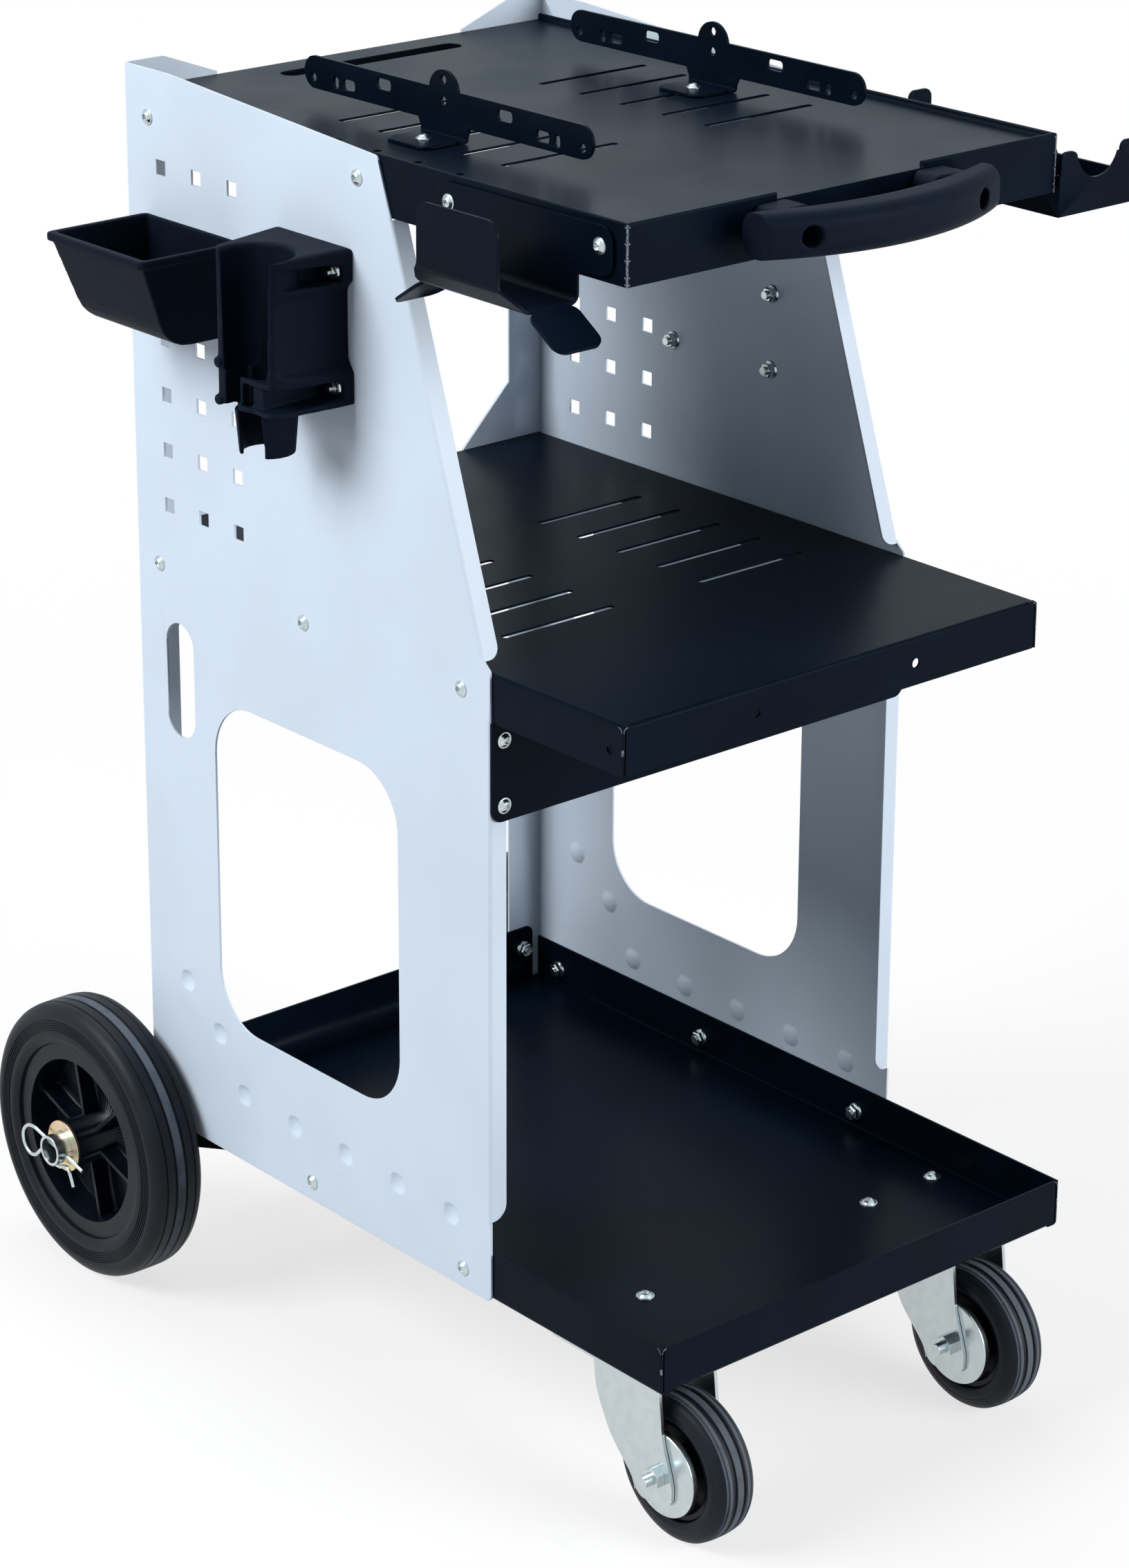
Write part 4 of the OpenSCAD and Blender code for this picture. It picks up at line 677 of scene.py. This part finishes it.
def nut_pattern():
    """Hexagon nuts with a flange and a chamfered top."""
    sizes = dict.fromkeys(("Flange Width", "Height", "Bore Radius"), "Float")
    p = Pattern("Nuts", {**sizes, "Material": "Material"})
    width, height, bore = p.input("Flange Width"), p.input("Height"), p.input("Bore Radius")
    flange = p.cone(ROUND_SIDES, width * 0.5, width * 0.44, height * 0.25)
    hexagon = p.cylinder(6, width * 0.425, height * 0.62, z=height * 0.22)
    top = p.cone(6, width * 0.425, width * 0.36, height * 0.16, height * 0.84)
    body = p.join(flange, hexagon, top)
    hole = p.cylinder(SHANK_SIDES, bore, height * 2, z=height * -0.5)
    nut = p.node(
        "GeometryNodeMeshBoolean", {"operation": "DIFFERENCE"}, {"Mesh 1": body, "Mesh 2": hole}
    )
    p.finish(p.place(nut, 5), p.input("Material"))
    return p


def scatter(node, pattern, spots, values):
    """Stands a pattern on points [place, direction] in for a CAD node, as a plain mesh."""
    name = node + "_detailed"
    mesh = bpy.data.meshes.new(name)
    mesh.from_pydata([spot for spot, _ in spots], [], [])
    turn = mesh.attributes.new("turn", "FLOAT_VECTOR", "POINT")
    for item, (_, direction) in zip(turn.data, spots):
        item.vector = direction.to_track_quat("Z", "Y").to_euler()
    thing = bpy.data.objects.new(name, mesh)
    bpy.context.scene.collection.objects.link(thing)
    modifier = thing.modifiers.new(pattern.tree.name, "NODES")
    modifier.node_group = pattern.tree
    for key, value in values.items():
        modifier[pattern.names[key]] = value
    settle(thing)
    smoothen(thing, 35)
    return dress(thing, NODES[node]["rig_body"], node)


def place_screws(node, pattern, finish):
    """Stands detailed screws in for a CAD node's screws."""
    spots = []
    for points in solids(node):
        low, high, axis, middle, width, ends, wide = fastener(points)
        outward = 1 if high[axis] - max(wide) < min(wide) - low[axis] else -1
        if outward > 0:
            seat, top, tip = min(wide), high[axis], low[axis]
        else:
            seat, top, tip = max(wide), low[axis], high[axis]
        spot = middle.copy()
        spot[axis] = seat
        direction = Vector((0, 0, 0))
        direction[axis] = outward
        spots.append((spot, direction))
    values = {
        "Head Width": width,
        "Head Height": abs(top - seat),
        "Shank Radius": ends[0] if outward > 0 else ends[1],
        "Shank Length": abs(seat - tip),
        "Pitch": 1.0 * MM,
        "Material": finish,
    }
    return scatter(node, pattern, spots, values)


def place_nuts(node, pattern, finish):
    """Stands detailed nuts in for a CAD node's nuts."""
    spots = []
    for points in solids(node):
        low, high, axis, middle, width, ends, _ = fastener(points)
        outward = 1 if ends[0] > ends[1] else -1
        spot = middle.copy()
        spot[axis] = low[axis] if outward > 0 else high[axis]
        direction = Vector((0, 0, 0))
        direction[axis] = outward
        spots.append((spot, direction))
        off = [p - middle for p in points]
        bore = min((o - direction * o.dot(direction)).length for o in off)
    values = {
        "Flange Width": width,
        "Height": high[axis] - low[axis],
        "Bore Radius": bore,
        "Material": finish,
    }
    return scatter(node, pattern, spots, values)


# Settings ------------------------------------------------------------------------------


def colour_property(name, text, default):
    """A colour that a user may change."""
    return FloatVectorProperty(
        name=name,
        description=text,
        subtype="COLOR",
        size=4,
        min=0,
        max=1,
        default=(*default, 1),
    )


class TrolleyLook(bpy.types.PropertyGroup):
    """Colours of the finishes."""

    panel: colour_property("Panel paint", "Powder coat of the side panels", (0.66, 0.765, 0.885))
    coat: colour_property("Black paint", "Powder coat of the shelves", (0.0014, 0.004, 0.0095))
    moulding: colour_property("Moulding", "Plastic of handle and holder", (0.0035, 0.006, 0.013))
    rubber: colour_property("Rubber", "Rubber of the tyres", (0.004, 0.006, 0.0115))
    stripe: colour_property("Stripes", "Pale stripes of the treads", (0.1, 0.118, 0.145))
    zinc: colour_property("Zinc", "Plating of screws and castors", (0.58, 0.64, 0.655))


class TrolleySizes(bpy.types.PropertyGroup):
    """Sizes of the finer forms."""

    edge: FloatProperty(
        name="Edge rounding",
        description="Radius of the axle carrier's rounded edges",
        default=0.4 * MM,
        min=0.1 * MM,
        max=1 * MM,
        unit="LENGTH",
    )
    wall_rings: IntProperty(
        name="Sidewall rings",
        description="Fine rings on a rear tyre's sidewall",
        default=5,
        min=0,
        max=9,
    )
    ring_step: FloatProperty(
        name="Ring pitch",
        description="Distance between the fine rings",
        default=1.7 * MM,
        min=1 * MM,
        max=3 * MM,
        unit="LENGTH",
    )
    knurl: FloatProperty(
        name="Knurl pitch",
        description="Distance between the ridges of the knurled band",
        default=1.6 * MM,
        min=1 * MM,
        max=4 * MM,
        unit="LENGTH",
    )


class TrolleyStage(bpy.types.PropertyGroup):
    """Light of the studio."""

    key: FloatProperty(
        name="Key light", description="Strength of the key light", default=1.38, min=0, max=10
    )
    sky: FloatProperty(
        name="Ambient light",
        description="Strength of the ambient light",
        default=0.12,
        min=0,
        max=3,
    )


# Pieces --------------------------------------------------------------------------------


class Maker:
    """What the operators share."""

    bl_options = {"REGISTER"}

    @property
    def look(self):
        return bpy.context.scene.trolley_look

    @property
    def sizes(self):
        return bpy.context.scene.trolley_sizes

    def execute(self, context):
        self.make()
        return {"FINISHED"}


class TROLLEY_OT_panels(Maker, bpy.types.Operator):
    """Side panels in their paint"""

    bl_idname = "trolley.panels"
    bl_label = "Side panels"

    def make(self):
        finish = panel_paint(self.look)
        for side in ("left", "right"):
            plain(side + "_side_panel", finish)


class TROLLEY_OT_sheets(Maker, bpy.types.Operator):
    """Shelves, tray, apron, brackets and axle carrier in black paint"""

    bl_idname = "trolley.sheets"
    bl_label = "Shelves and brackets"

    # Welds at a sheet's front corners: radius of the corner; foot and top of the front wall,
    # below the sheet's top or, if below zero, above its foot; heights of the stitches as
    # shares of the wall
    WELDS = {
        "top_shelf": (1.6 * MM, 37.5 * MM, 0.8 * MM, (0.04, 0.3, 0.57, 0.84, 0.95)),
        "middle_shelf": (0.8 * MM, 31.6 * MM, 0.8 * MM, ()),
        "bottom_tray": (0.8 * MM, -1 * MM, -31.5 * MM, ()),
    }

    # A tack weld's outline: places along the corner and radii, in millimetres
    TACK = (
        (-2.2, 0.1), (-1.8, 0.5), (-0.9, 0.75), (0, 0.6), (0.8, 0.78), (1.7, 0.55), (2.2, 0.1),
    )

    def make(self):
        finish = black_paint(self.look)
        for node in (
            "top_shelf",
            "middle_shelf",
            "bottom_tray",
            "apron_plate",
            "left_support_bracket",
            "right_support_bracket",
        ):
            plain(node, finish)
        rounded("axle_carrier", self.sizes.edge, finish)
        self.saddle(finish)
        plain("cable_bracket", finish, "_plain")
        # Finish of the seams, stitches and tacks, whose pale grey is a painted highlight
        bright = weld_metal()
        for node, (radius, foot, top, stitches) in self.WELDS.items():
            low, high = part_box(node)
            base = low.z if foot < 0 else high.z
            shape = Shape()
            for x, side in ((low.x, 1), (high.x, -1)):
                corner = Vector((x, low.y, 0))
                if stitches:
                    self.seam(shape, corner, side, radius, base - foot, base - top, stitches)
                else:
                    self.tack(shape, corner, side, radius * 0.42, base - foot, base - top)
            seam = shape.object(node + "_seams", bright, 40)
            dress(seam, NODES[node]["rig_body"])

    def saddle(self, finish):
        """Hose saddle. The CAD node has a wide slab in front of its outer plate, so a copy
        is cut back to the plate's narrow outline above the fold."""
        low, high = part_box("hose_saddle")
        face, middle = low.x + 2 * MM, (low.y + high.y) / 2
        foot, shoulder, top = 803.4 * MM, 814.2 * MM, 870 * MM
        wide, narrow, clear = 47.6 * MM, 36.55 * MM, 52 * MM
        edge = shoulder + 22 * MM
        front = [(-clear, foot), (clear, foot), (clear, top), (-clear, top)]
        flank = [
            (wide, foot),
            (narrow + 1.5 * MM, shoulder - 1.5 * MM),
            (narrow, shoulder + 1.5 * MM),
            (narrow, edge),
            (clear, edge),
            (clear, foot),
        ]
        knives = Shape()
        knives.slab([(middle + a, z) for a, z in front], 0, face - 8 * MM, face - 0.01 * MM)
        for side in (-1, 1):
            outline = [(middle + side * a, z) for a, z in flank]
            knives.slab(outline, 0, face - 4 * MM, face + 13 * MM)
        knives = knives.object("saddle_knives", finish)
        piece = copied("hose_saddle", "_cut", finish)
        cut = piece.modifiers.new("Cut", "BOOLEAN")
        cut.operation, cut.solver, cut.object = "DIFFERENCE", "EXACT", knives
        cut.use_self = True
        settle(piece)
        bpy.data.objects.remove(knives)
        smoothen(piece, SHARP_OVER)
        dress(piece, NODES["hose_saddle"]["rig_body"], "hose_saddle")

    def seam(self, shape, corner, side, radius, foot, top, stitches):
        """A seam up a corner, and stitches across it, in a finish that paints their highlights.
        """
        for share in stitches:
            path = []
            for i in range(9):
                turn = pi / 2 * (i - 1) / 6
                inward = side * (radius - radius * cos(turn))
                sag = 0.7 * MM * sin(pi * i / 8)
                height = top + (foot - top) * share - sag
                path.append(corner + Vector((inward, radius - radius * sin(turn), height)))
            shape.tube(path, 0.42 * MM, 8)
        # A round bar up the corner, whose pale finish paints the highlight of the bend
        at = corner + Vector((side * 0.35 * MM, 0.35 * MM, 0))
        rise = [at + Vector((0, 0, z)) for z in (foot, (foot + top) / 2, top)]
        shape.tube(rise, 0.7 * MM, 10)

    def tack(self, shape, corner, side, inset, foot, top):
        """A tack weld halfway up a corner, and thin tubes above it that paint the highlights on
        the rims of the folds.
        """
        edge = corner + Vector((side * inset, inset, 0))
        outline = [(a * MM, r * MM) for a, r in self.TACK]
        middle = edge + Vector((0, 0, (foot + top) / 2))
        shape.lathe(outline, middle, 12, axis=2, closed=False)
        reach, bend = 3.4 * MM, 3 * MM
        for along in (Vector((side, 0, 0)), Vector((0, 1, 0))):
            start = edge + Vector((0, 0, top)) + along * reach
            path = []
            for i in range(8):
                turn = i / 7 * pi / 2
                drop = Vector((0, 0, bend * (1 - cos(turn))))
                path.append(start - along * bend * sin(turn) - drop)
            outward = Vector((0, -inset, 0)) if along.x else Vector((-side * inset, 0, 0))
            # Thin tubes whose pale finish paints the highlights on the rounded rims of the folds
            shape.tube([p + outward for p in path], 0.3 * MM, 8)


class TROLLEY_OT_mouldings(Maker, bpy.types.Operator):
    """Handle, torch holder and bin in moulded plastic"""

    bl_idname = "trolley.mouldings"
    bl_label = "Mouldings"

    def make(self):
        finish = black_moulding(self.look)
        for node, melting in (("bow_handle", 4), ("torch_holder", 6), ("accessory_bin", 6)):
            moulded(node, melting, finish)


class TROLLEY_OT_fasteners(Maker, bpy.types.Operator):
    """Screws and nuts"""

    bl_idname = "trolley.fasteners"
    bl_label = "Screws and nuts"

    def make(self):
        finish = zinc(self.look)
        screws, nuts = screw_pattern(), nut_pattern()
        for node in sorted(NODES):
            if node.endswith(("_screws", "_screw")):
                place_screws(node, screws, finish)
            elif node.endswith(("_nuts", "_nut")):
                place_nuts(node, nuts, finish)


class TROLLEY_OT_axle(Maker, bpy.types.Operator):
    """Axle tube, spacers, washers and spring clips"""

    bl_idname = "trolley.axle"
    bl_label = "Axle"

    # A clip's bends, in millimetres: places along its straight leg and across it
    BENDS = (
        (-31, 0), (-12, 0), (8, 0), (22, 0.2), (29, 0), (35.6, -2.8), (39.8, -8.5), (40, -15),
        (36.4, -20.6), (30, -23.2), (24.2, -21), (19.8, -15.4), (15.9, -9.6), (12.6, -8.7),
        (9, -11), (4.6, -13), (-0.2, -13.6), (-5, -12.6), (-9.4, -9.9), (-13, -8.4),
        (-16.4, -9.8), (-19.6, -13.6), (-23, -18.6),
    )

    def make(self):
        metal = zinc(self.look)
        plain("axle_tube", metal)
        rounded("axle_spacers", 0.3 * MM, metal)
        rounded("axle_washers", 0.25 * MM, yellow_zinc())
        self.clips(metal)

    def clips(self, metal):
        """Spring clips: a straight leg through the tube, a wide loop and a wavy leg."""
        tilt = radians(12)
        low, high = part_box("axle_tube")
        middle = (low + high) / 2
        reach = (high.x - low.x) / 2 - 7 * MM
        shape = Shape()
        for side in (-1, 1):
            path = []
            for along, across in self.flowing(self.BENDS):
                y = along * cos(tilt) - across * sin(tilt)
                z = along * sin(tilt) + across * cos(tilt)
                path.append(middle + Vector((side * reach, y * MM, z * MM)))
            shape.tube(path, 1.45 * MM, 14)
        body = NODES["axle_clips"]["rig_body"]
        dress(shape.object("axle_clips_bent", metal, 40), body, "axle_clips")

    def flowing(self, points, steps=5):
        """More points on a smooth curve through these."""
        found = []
        last = len(points) - 1
        for i in range(last):
            near = range(i - 1, i + 3)
            a, b, c, d = (Vector(points[max(0, min(j, last))]) for j in near)
            square, cube = a * 2 - b * 5 + c * 4 - d, b * 3 - a - c * 3 + d
            for k in range(steps):
                t = k / steps
                found.append((b * 2 + (c - a) * t + square * t**2 + cube * t**3) / 2)
        return found + [Vector(points[-1])]


class TROLLEY_OT_rear_wheels(Maker, bpy.types.Operator):
    """Rear wheels: ringed tyres on ribbed rims"""

    bl_idname = "trolley.rear_wheels"
    bl_label = "Rear wheels"

    def tyre(self, side, middle, half, radius, seat):
        """Tyre, whose half profile goes from the rim to the tread."""
        sizes = self.sizes
        wall = [
            (half - 5.3, seat),
            (half - 3.2, seat + 0.4),
            (half - 1.2, seat + 3.2),
            (half - 0.4, seat + 6),
        ]
        for i in range(sizes.wall_rings):
            base = seat + 10.2 + i * sizes.ring_step / MM
            crest = half - 0.4 - 0.05 * i
            wall += [
                (crest - 0.7, base - 0.45),
                (crest, base - 0.2),
                (crest, base + 0.3),
                (crest - 0.7, base + 0.55),
            ]
        wall += [
            (half - 0.9, radius - 9.5),
            (half - 1.5, radius - 7),
            (half - 2.8, radius - 4.2),
            (half - 4.8, radius - 1.9),
            (half - 7.2, radius - 0.7),
            (half - 9.5, radius - 0.3),
            (half - 9.9, radius - 1.0),
            (half - 10.5, radius - 1.0),
            (half - 10.9, radius - 0.1),
            (5.2, radius),
            (4.8, radius - 0.9),
            (4.0, radius - 0.9),
            (3.6, radius),
        ]
        shape = tyre_shape(wall, middle, 144)
        finish = tread_rubber(
            self.look,
            side + "_rear_rubber",
            middle,
            radius * MM,
            [(-3.2 * MM, 3.2 * MM)],
            sizes.knurl,
            (3.8 * MM, 10 * MM),
        )
        node = side + "_rear_tyre"
        tyre = shape.object(node + "_ringed", finish, 40)
        dress(tyre, side + "_rear_wheel", node)

    def make(self):
        for side in ("left", "right"):
            self.tyre(side, *tyre_sizes(side + "_rear"))
            plain(side + "_rear_rim", rim_moulding(self.look))


class TROLLEY_OT_castors(Maker, bpy.types.Operator):
    """Castor forks, plates, axles and guards in bright zinc"""

    bl_idname = "trolley.castors"
    bl_label = "Castors"

    def make(self):
        metal = zinc(self.look)
        plain("castor_plates", metal)
        rounded("castor_king_pins", 0.4 * MM, metal)
        for side in ("left", "right"):
            plain(side + "_castor_fork", metal)
            rounded(side + "_castor_axle", 0.15 * MM, metal)
            rounded(side + "_castor_guards", 0.3 * MM, metal)


class TROLLEY_OT_castor_wheels(Maker, bpy.types.Operator):
    """Castor wheels: striped tyres on plain rims"""

    bl_idname = "trolley.castor_wheels"
    bl_label = "Castor wheels"

    def make(self):
        for side in ("left", "right"):
            middle, half, radius, seat = tyre_sizes(side + "_castor")
            wall = [
                (half - 4, seat),
                (half - 1.6, seat + 0.5),
                (half - 0.5, seat + 2.2),
                (half - 0.3, seat + 4.5),
                (half - 0.9, radius - 8.5),
                (half - 1.1, radius - 8.2),
                (half - 0.9, radius - 7.8),
                (half - 1.8, radius - 4.8),
                (half - 3.4, radius - 2.2),
                (half - 5.6, radius - 0.8),
                (half - 6.2, radius - 1.6),
                (half - 7.0, radius - 1.6),
                (half - 7.5, radius - 0.5),
                (4.6, radius - 0.1),
                (4.0, radius - 1.0),
                (3.2, radius - 1.0),
                (2.6, radius),
            ]
            shape = tyre_shape(wall, middle, 112)
            stripes = [(-2.6 * MM, 2.6 * MM), (6 * MM, 11 * MM), (-11 * MM, -6 * MM)]
            finish = tread_rubber(
                self.look,
                side + "_castor_rubber",
                middle,
                radius * MM,
                stripes,
                self.sizes.knurl,
                (3.2 * MM, 6.2 * MM),
            )
            node = side + "_castor_tyre"
            tyre = shape.object(node + "_striped", finish, 40)
            dress(tyre, side + "_castor_wheel", node)
            rounded(side + "_castor_rim", 0.4 * MM, rim_moulding(self.look))


class TROLLEY_OT_stage(Maker, bpy.types.Operator):
    """Camera, pale floor and soft studio light"""

    bl_idname = "trolley.stage"
    bl_label = "Stage"

    def camera(self):
        """Camera at eye height, in front of the trolley and to its left."""
        place = (-1.73857, -2.0251, 1.44557)
        yaw, pitch, roll = 0.6958, 0.3338, -0.002
        ahead = Vector((sin(yaw) * cos(pitch), cos(yaw) * cos(pitch), -sin(pitch)))
        right = ahead.cross(Vector((0, 0, 1))).normalized()
        up = right.cross(ahead)
        right, up = right * cos(roll) + up * sin(roll), up * cos(roll) - right * sin(roll)
        turn = Matrix((right, up, -ahead)).transposed().to_4x4()
        data = bpy.data.cameras.new("camera")
        data.lens = 98.28
        data.sensor_width = 36
        data.shift_x, data.shift_y = 0.05, -0.12
        thing = bpy.data.objects.new("camera", data)
        thing.matrix_world = Matrix.Translation(place) @ turn
        bpy.context.scene.collection.objects.link(thing)
        bpy.context.scene.camera = thing

    def lamp(self, name, place, size, power):
        """A soft square lamp at a place, aimed at the trolley's middle."""
        data = bpy.data.lights.new(name, "AREA")
        data.shape = "SQUARE"
        data.size = size
        data.energy = power
        thing = bpy.data.objects.new(name, data)
        thing.location = place
        ahead = Vector((0, 0, 0.5)) - Vector(place)
        thing.rotation_euler = ahead.to_track_quat("-Z", "Y").to_euler()
        bpy.context.scene.collection.objects.link(thing)

    def rays(self, graph):
        """Whether a ray is seen by the camera, by gloss or through glass."""
        outputs = graph.node("ShaderNodeLightPath").socket.node.outputs
        kinds = ("Camera", "Glossy", "Transmission")
        return [Term(graph, outputs["Is %s Ray" % kind]) for kind in kinds]

    def world(self, sky):
        """Even ambient light, and white where the camera, gloss and glass look."""
        world = bpy.data.worlds.new("studio")
        world.use_nodes = True
        bpy.context.scene.world = world
        g = Graph(world.node_tree)
        rays = self.rays(g)
        seen = (rays[0] + rays[1]).math("MAXIMUM", rays[0] + rays[1], rays[2])
        even = g.node("ShaderNodeBackground", None, {0: (0.9, 0.96, 1.0), 1: sky})
        glossy, white = (0.84, 0.94, 1.0), (1, 1, 1)
        hue = g.node("ShaderNodeMix", {"data_type": "RGBA"}, {0: rays[0], 6: glossy, 7: white}, 2)
        bright = g.node("ShaderNodeBackground", None, {0: hue, 1: 1.0})
        both = g.node("ShaderNodeMixShader", None, {0: seen, 1: even, 2: bright})
        g.node("ShaderNodeOutputWorld", None, {0: both})

    def floor(self):
        """A wide pale floor that keeps the shadow and turns white further out."""
        f = Finish("floor", IOR=1.4, Specular_IOR_Level=0.1, Roughness=0.8)
        rays = self.rays(f)
        seen = (rays[0] + rays[1] + rays[2]).math("MINIMUM", rays[0] + rays[1] + rays[2], 1.0)
        x, y, _ = f.axes()
        share = f.ramp((x * x + y * y) ** 0.5, 0.5, 1.8, 0.72, 1.0)
        f.set("Base Color", f.mix(seen, (0.42, 0.43, 0.45), (0.95, 0.95, 0.95)))
        white = f.node("ShaderNodeEmission", None, {0: (1, 1, 1), 1: 1.0})
        lit = Term(f, f.shader.outputs[0])
        both = f.node("ShaderNodeMixShader", None, {0: seen * share, 1: lit, 2: white})
        output = next(n for n in f.tree.nodes if n.type == "OUTPUT_MATERIAL")
        f.feed(output.inputs["Surface"], both)
        half = 9
        shape = Shape()
        corners = ((-half, -half, 0), (half, -half, 0), (half, half, 0), (-half, half, 0))
        shape.bm.faces.new([shape.bm.verts.new(p) for p in corners])
        shape.object("floor", f.material)

    def make(self):
        studio = bpy.context.scene.trolley_stage
        bpy.context.scene.view_settings.view_transform = "Standard"
        self.camera()
        self.world(studio.sky)
        self.floor()
        self.lamp("key", (-3.2, 1.0, 3.0), 2.2, 118 * studio.key)
        self.lamp("fill", (1.6, -4.2, 1.8), 2.5, 132 * studio.key)
        self.lamp("top", (0.4, 1.4, 4.2), 2.5, 45 * studio.key)


# Add-on --------------------------------------------------------------------------------

MAKERS = (
    TROLLEY_OT_stage,
    TROLLEY_OT_panels,
    TROLLEY_OT_sheets,
    TROLLEY_OT_mouldings,
    TROLLEY_OT_fasteners,
    TROLLEY_OT_axle,
    TROLLEY_OT_rear_wheels,
    TROLLEY_OT_castors,
    TROLLEY_OT_castor_wheels,
)


class TROLLEY_PT_pieces(bpy.types.Panel):
    """Lists the pieces and their settings"""

    bl_idname = "TROLLEY_PT_pieces"
    bl_label = "Trolley"
    bl_space_type = "VIEW_3D"
    bl_region_type = "UI"
    bl_category = "Trolley"

    def draw(self, context):
        for group in GROUPS:
            settings = getattr(context.scene, group)
            box = self.layout.box()
            for key in settings.__annotations__:
                box.prop(settings, key)
        for maker in MAKERS:
            self.layout.operator(maker.bl_idname)


GROUPS = {
    "trolley_look": TrolleyLook,
    "trolley_sizes": TrolleySizes,
    "trolley_stage": TrolleyStage,
}


def register():
    for kind in (*GROUPS.values(), *MAKERS, TROLLEY_PT_pieces):
        bpy.utils.register_class(kind)
    for name, kind in GROUPS.items():
        setattr(bpy.types.Scene, name, PointerProperty(type=kind))


def unregister():
    for name in GROUPS:
        delattr(bpy.types.Scene, name)
    for kind in reversed((*GROUPS.values(), *MAKERS, TROLLEY_PT_pieces)):
        bpy.utils.unregister_class(kind)


def main():
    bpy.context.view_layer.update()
    register()
    for maker in MAKERS:
        area, name = maker.bl_idname.split(".")
        getattr(getattr(bpy.ops, area), name)()


if __name__ == "__main__":
    main()
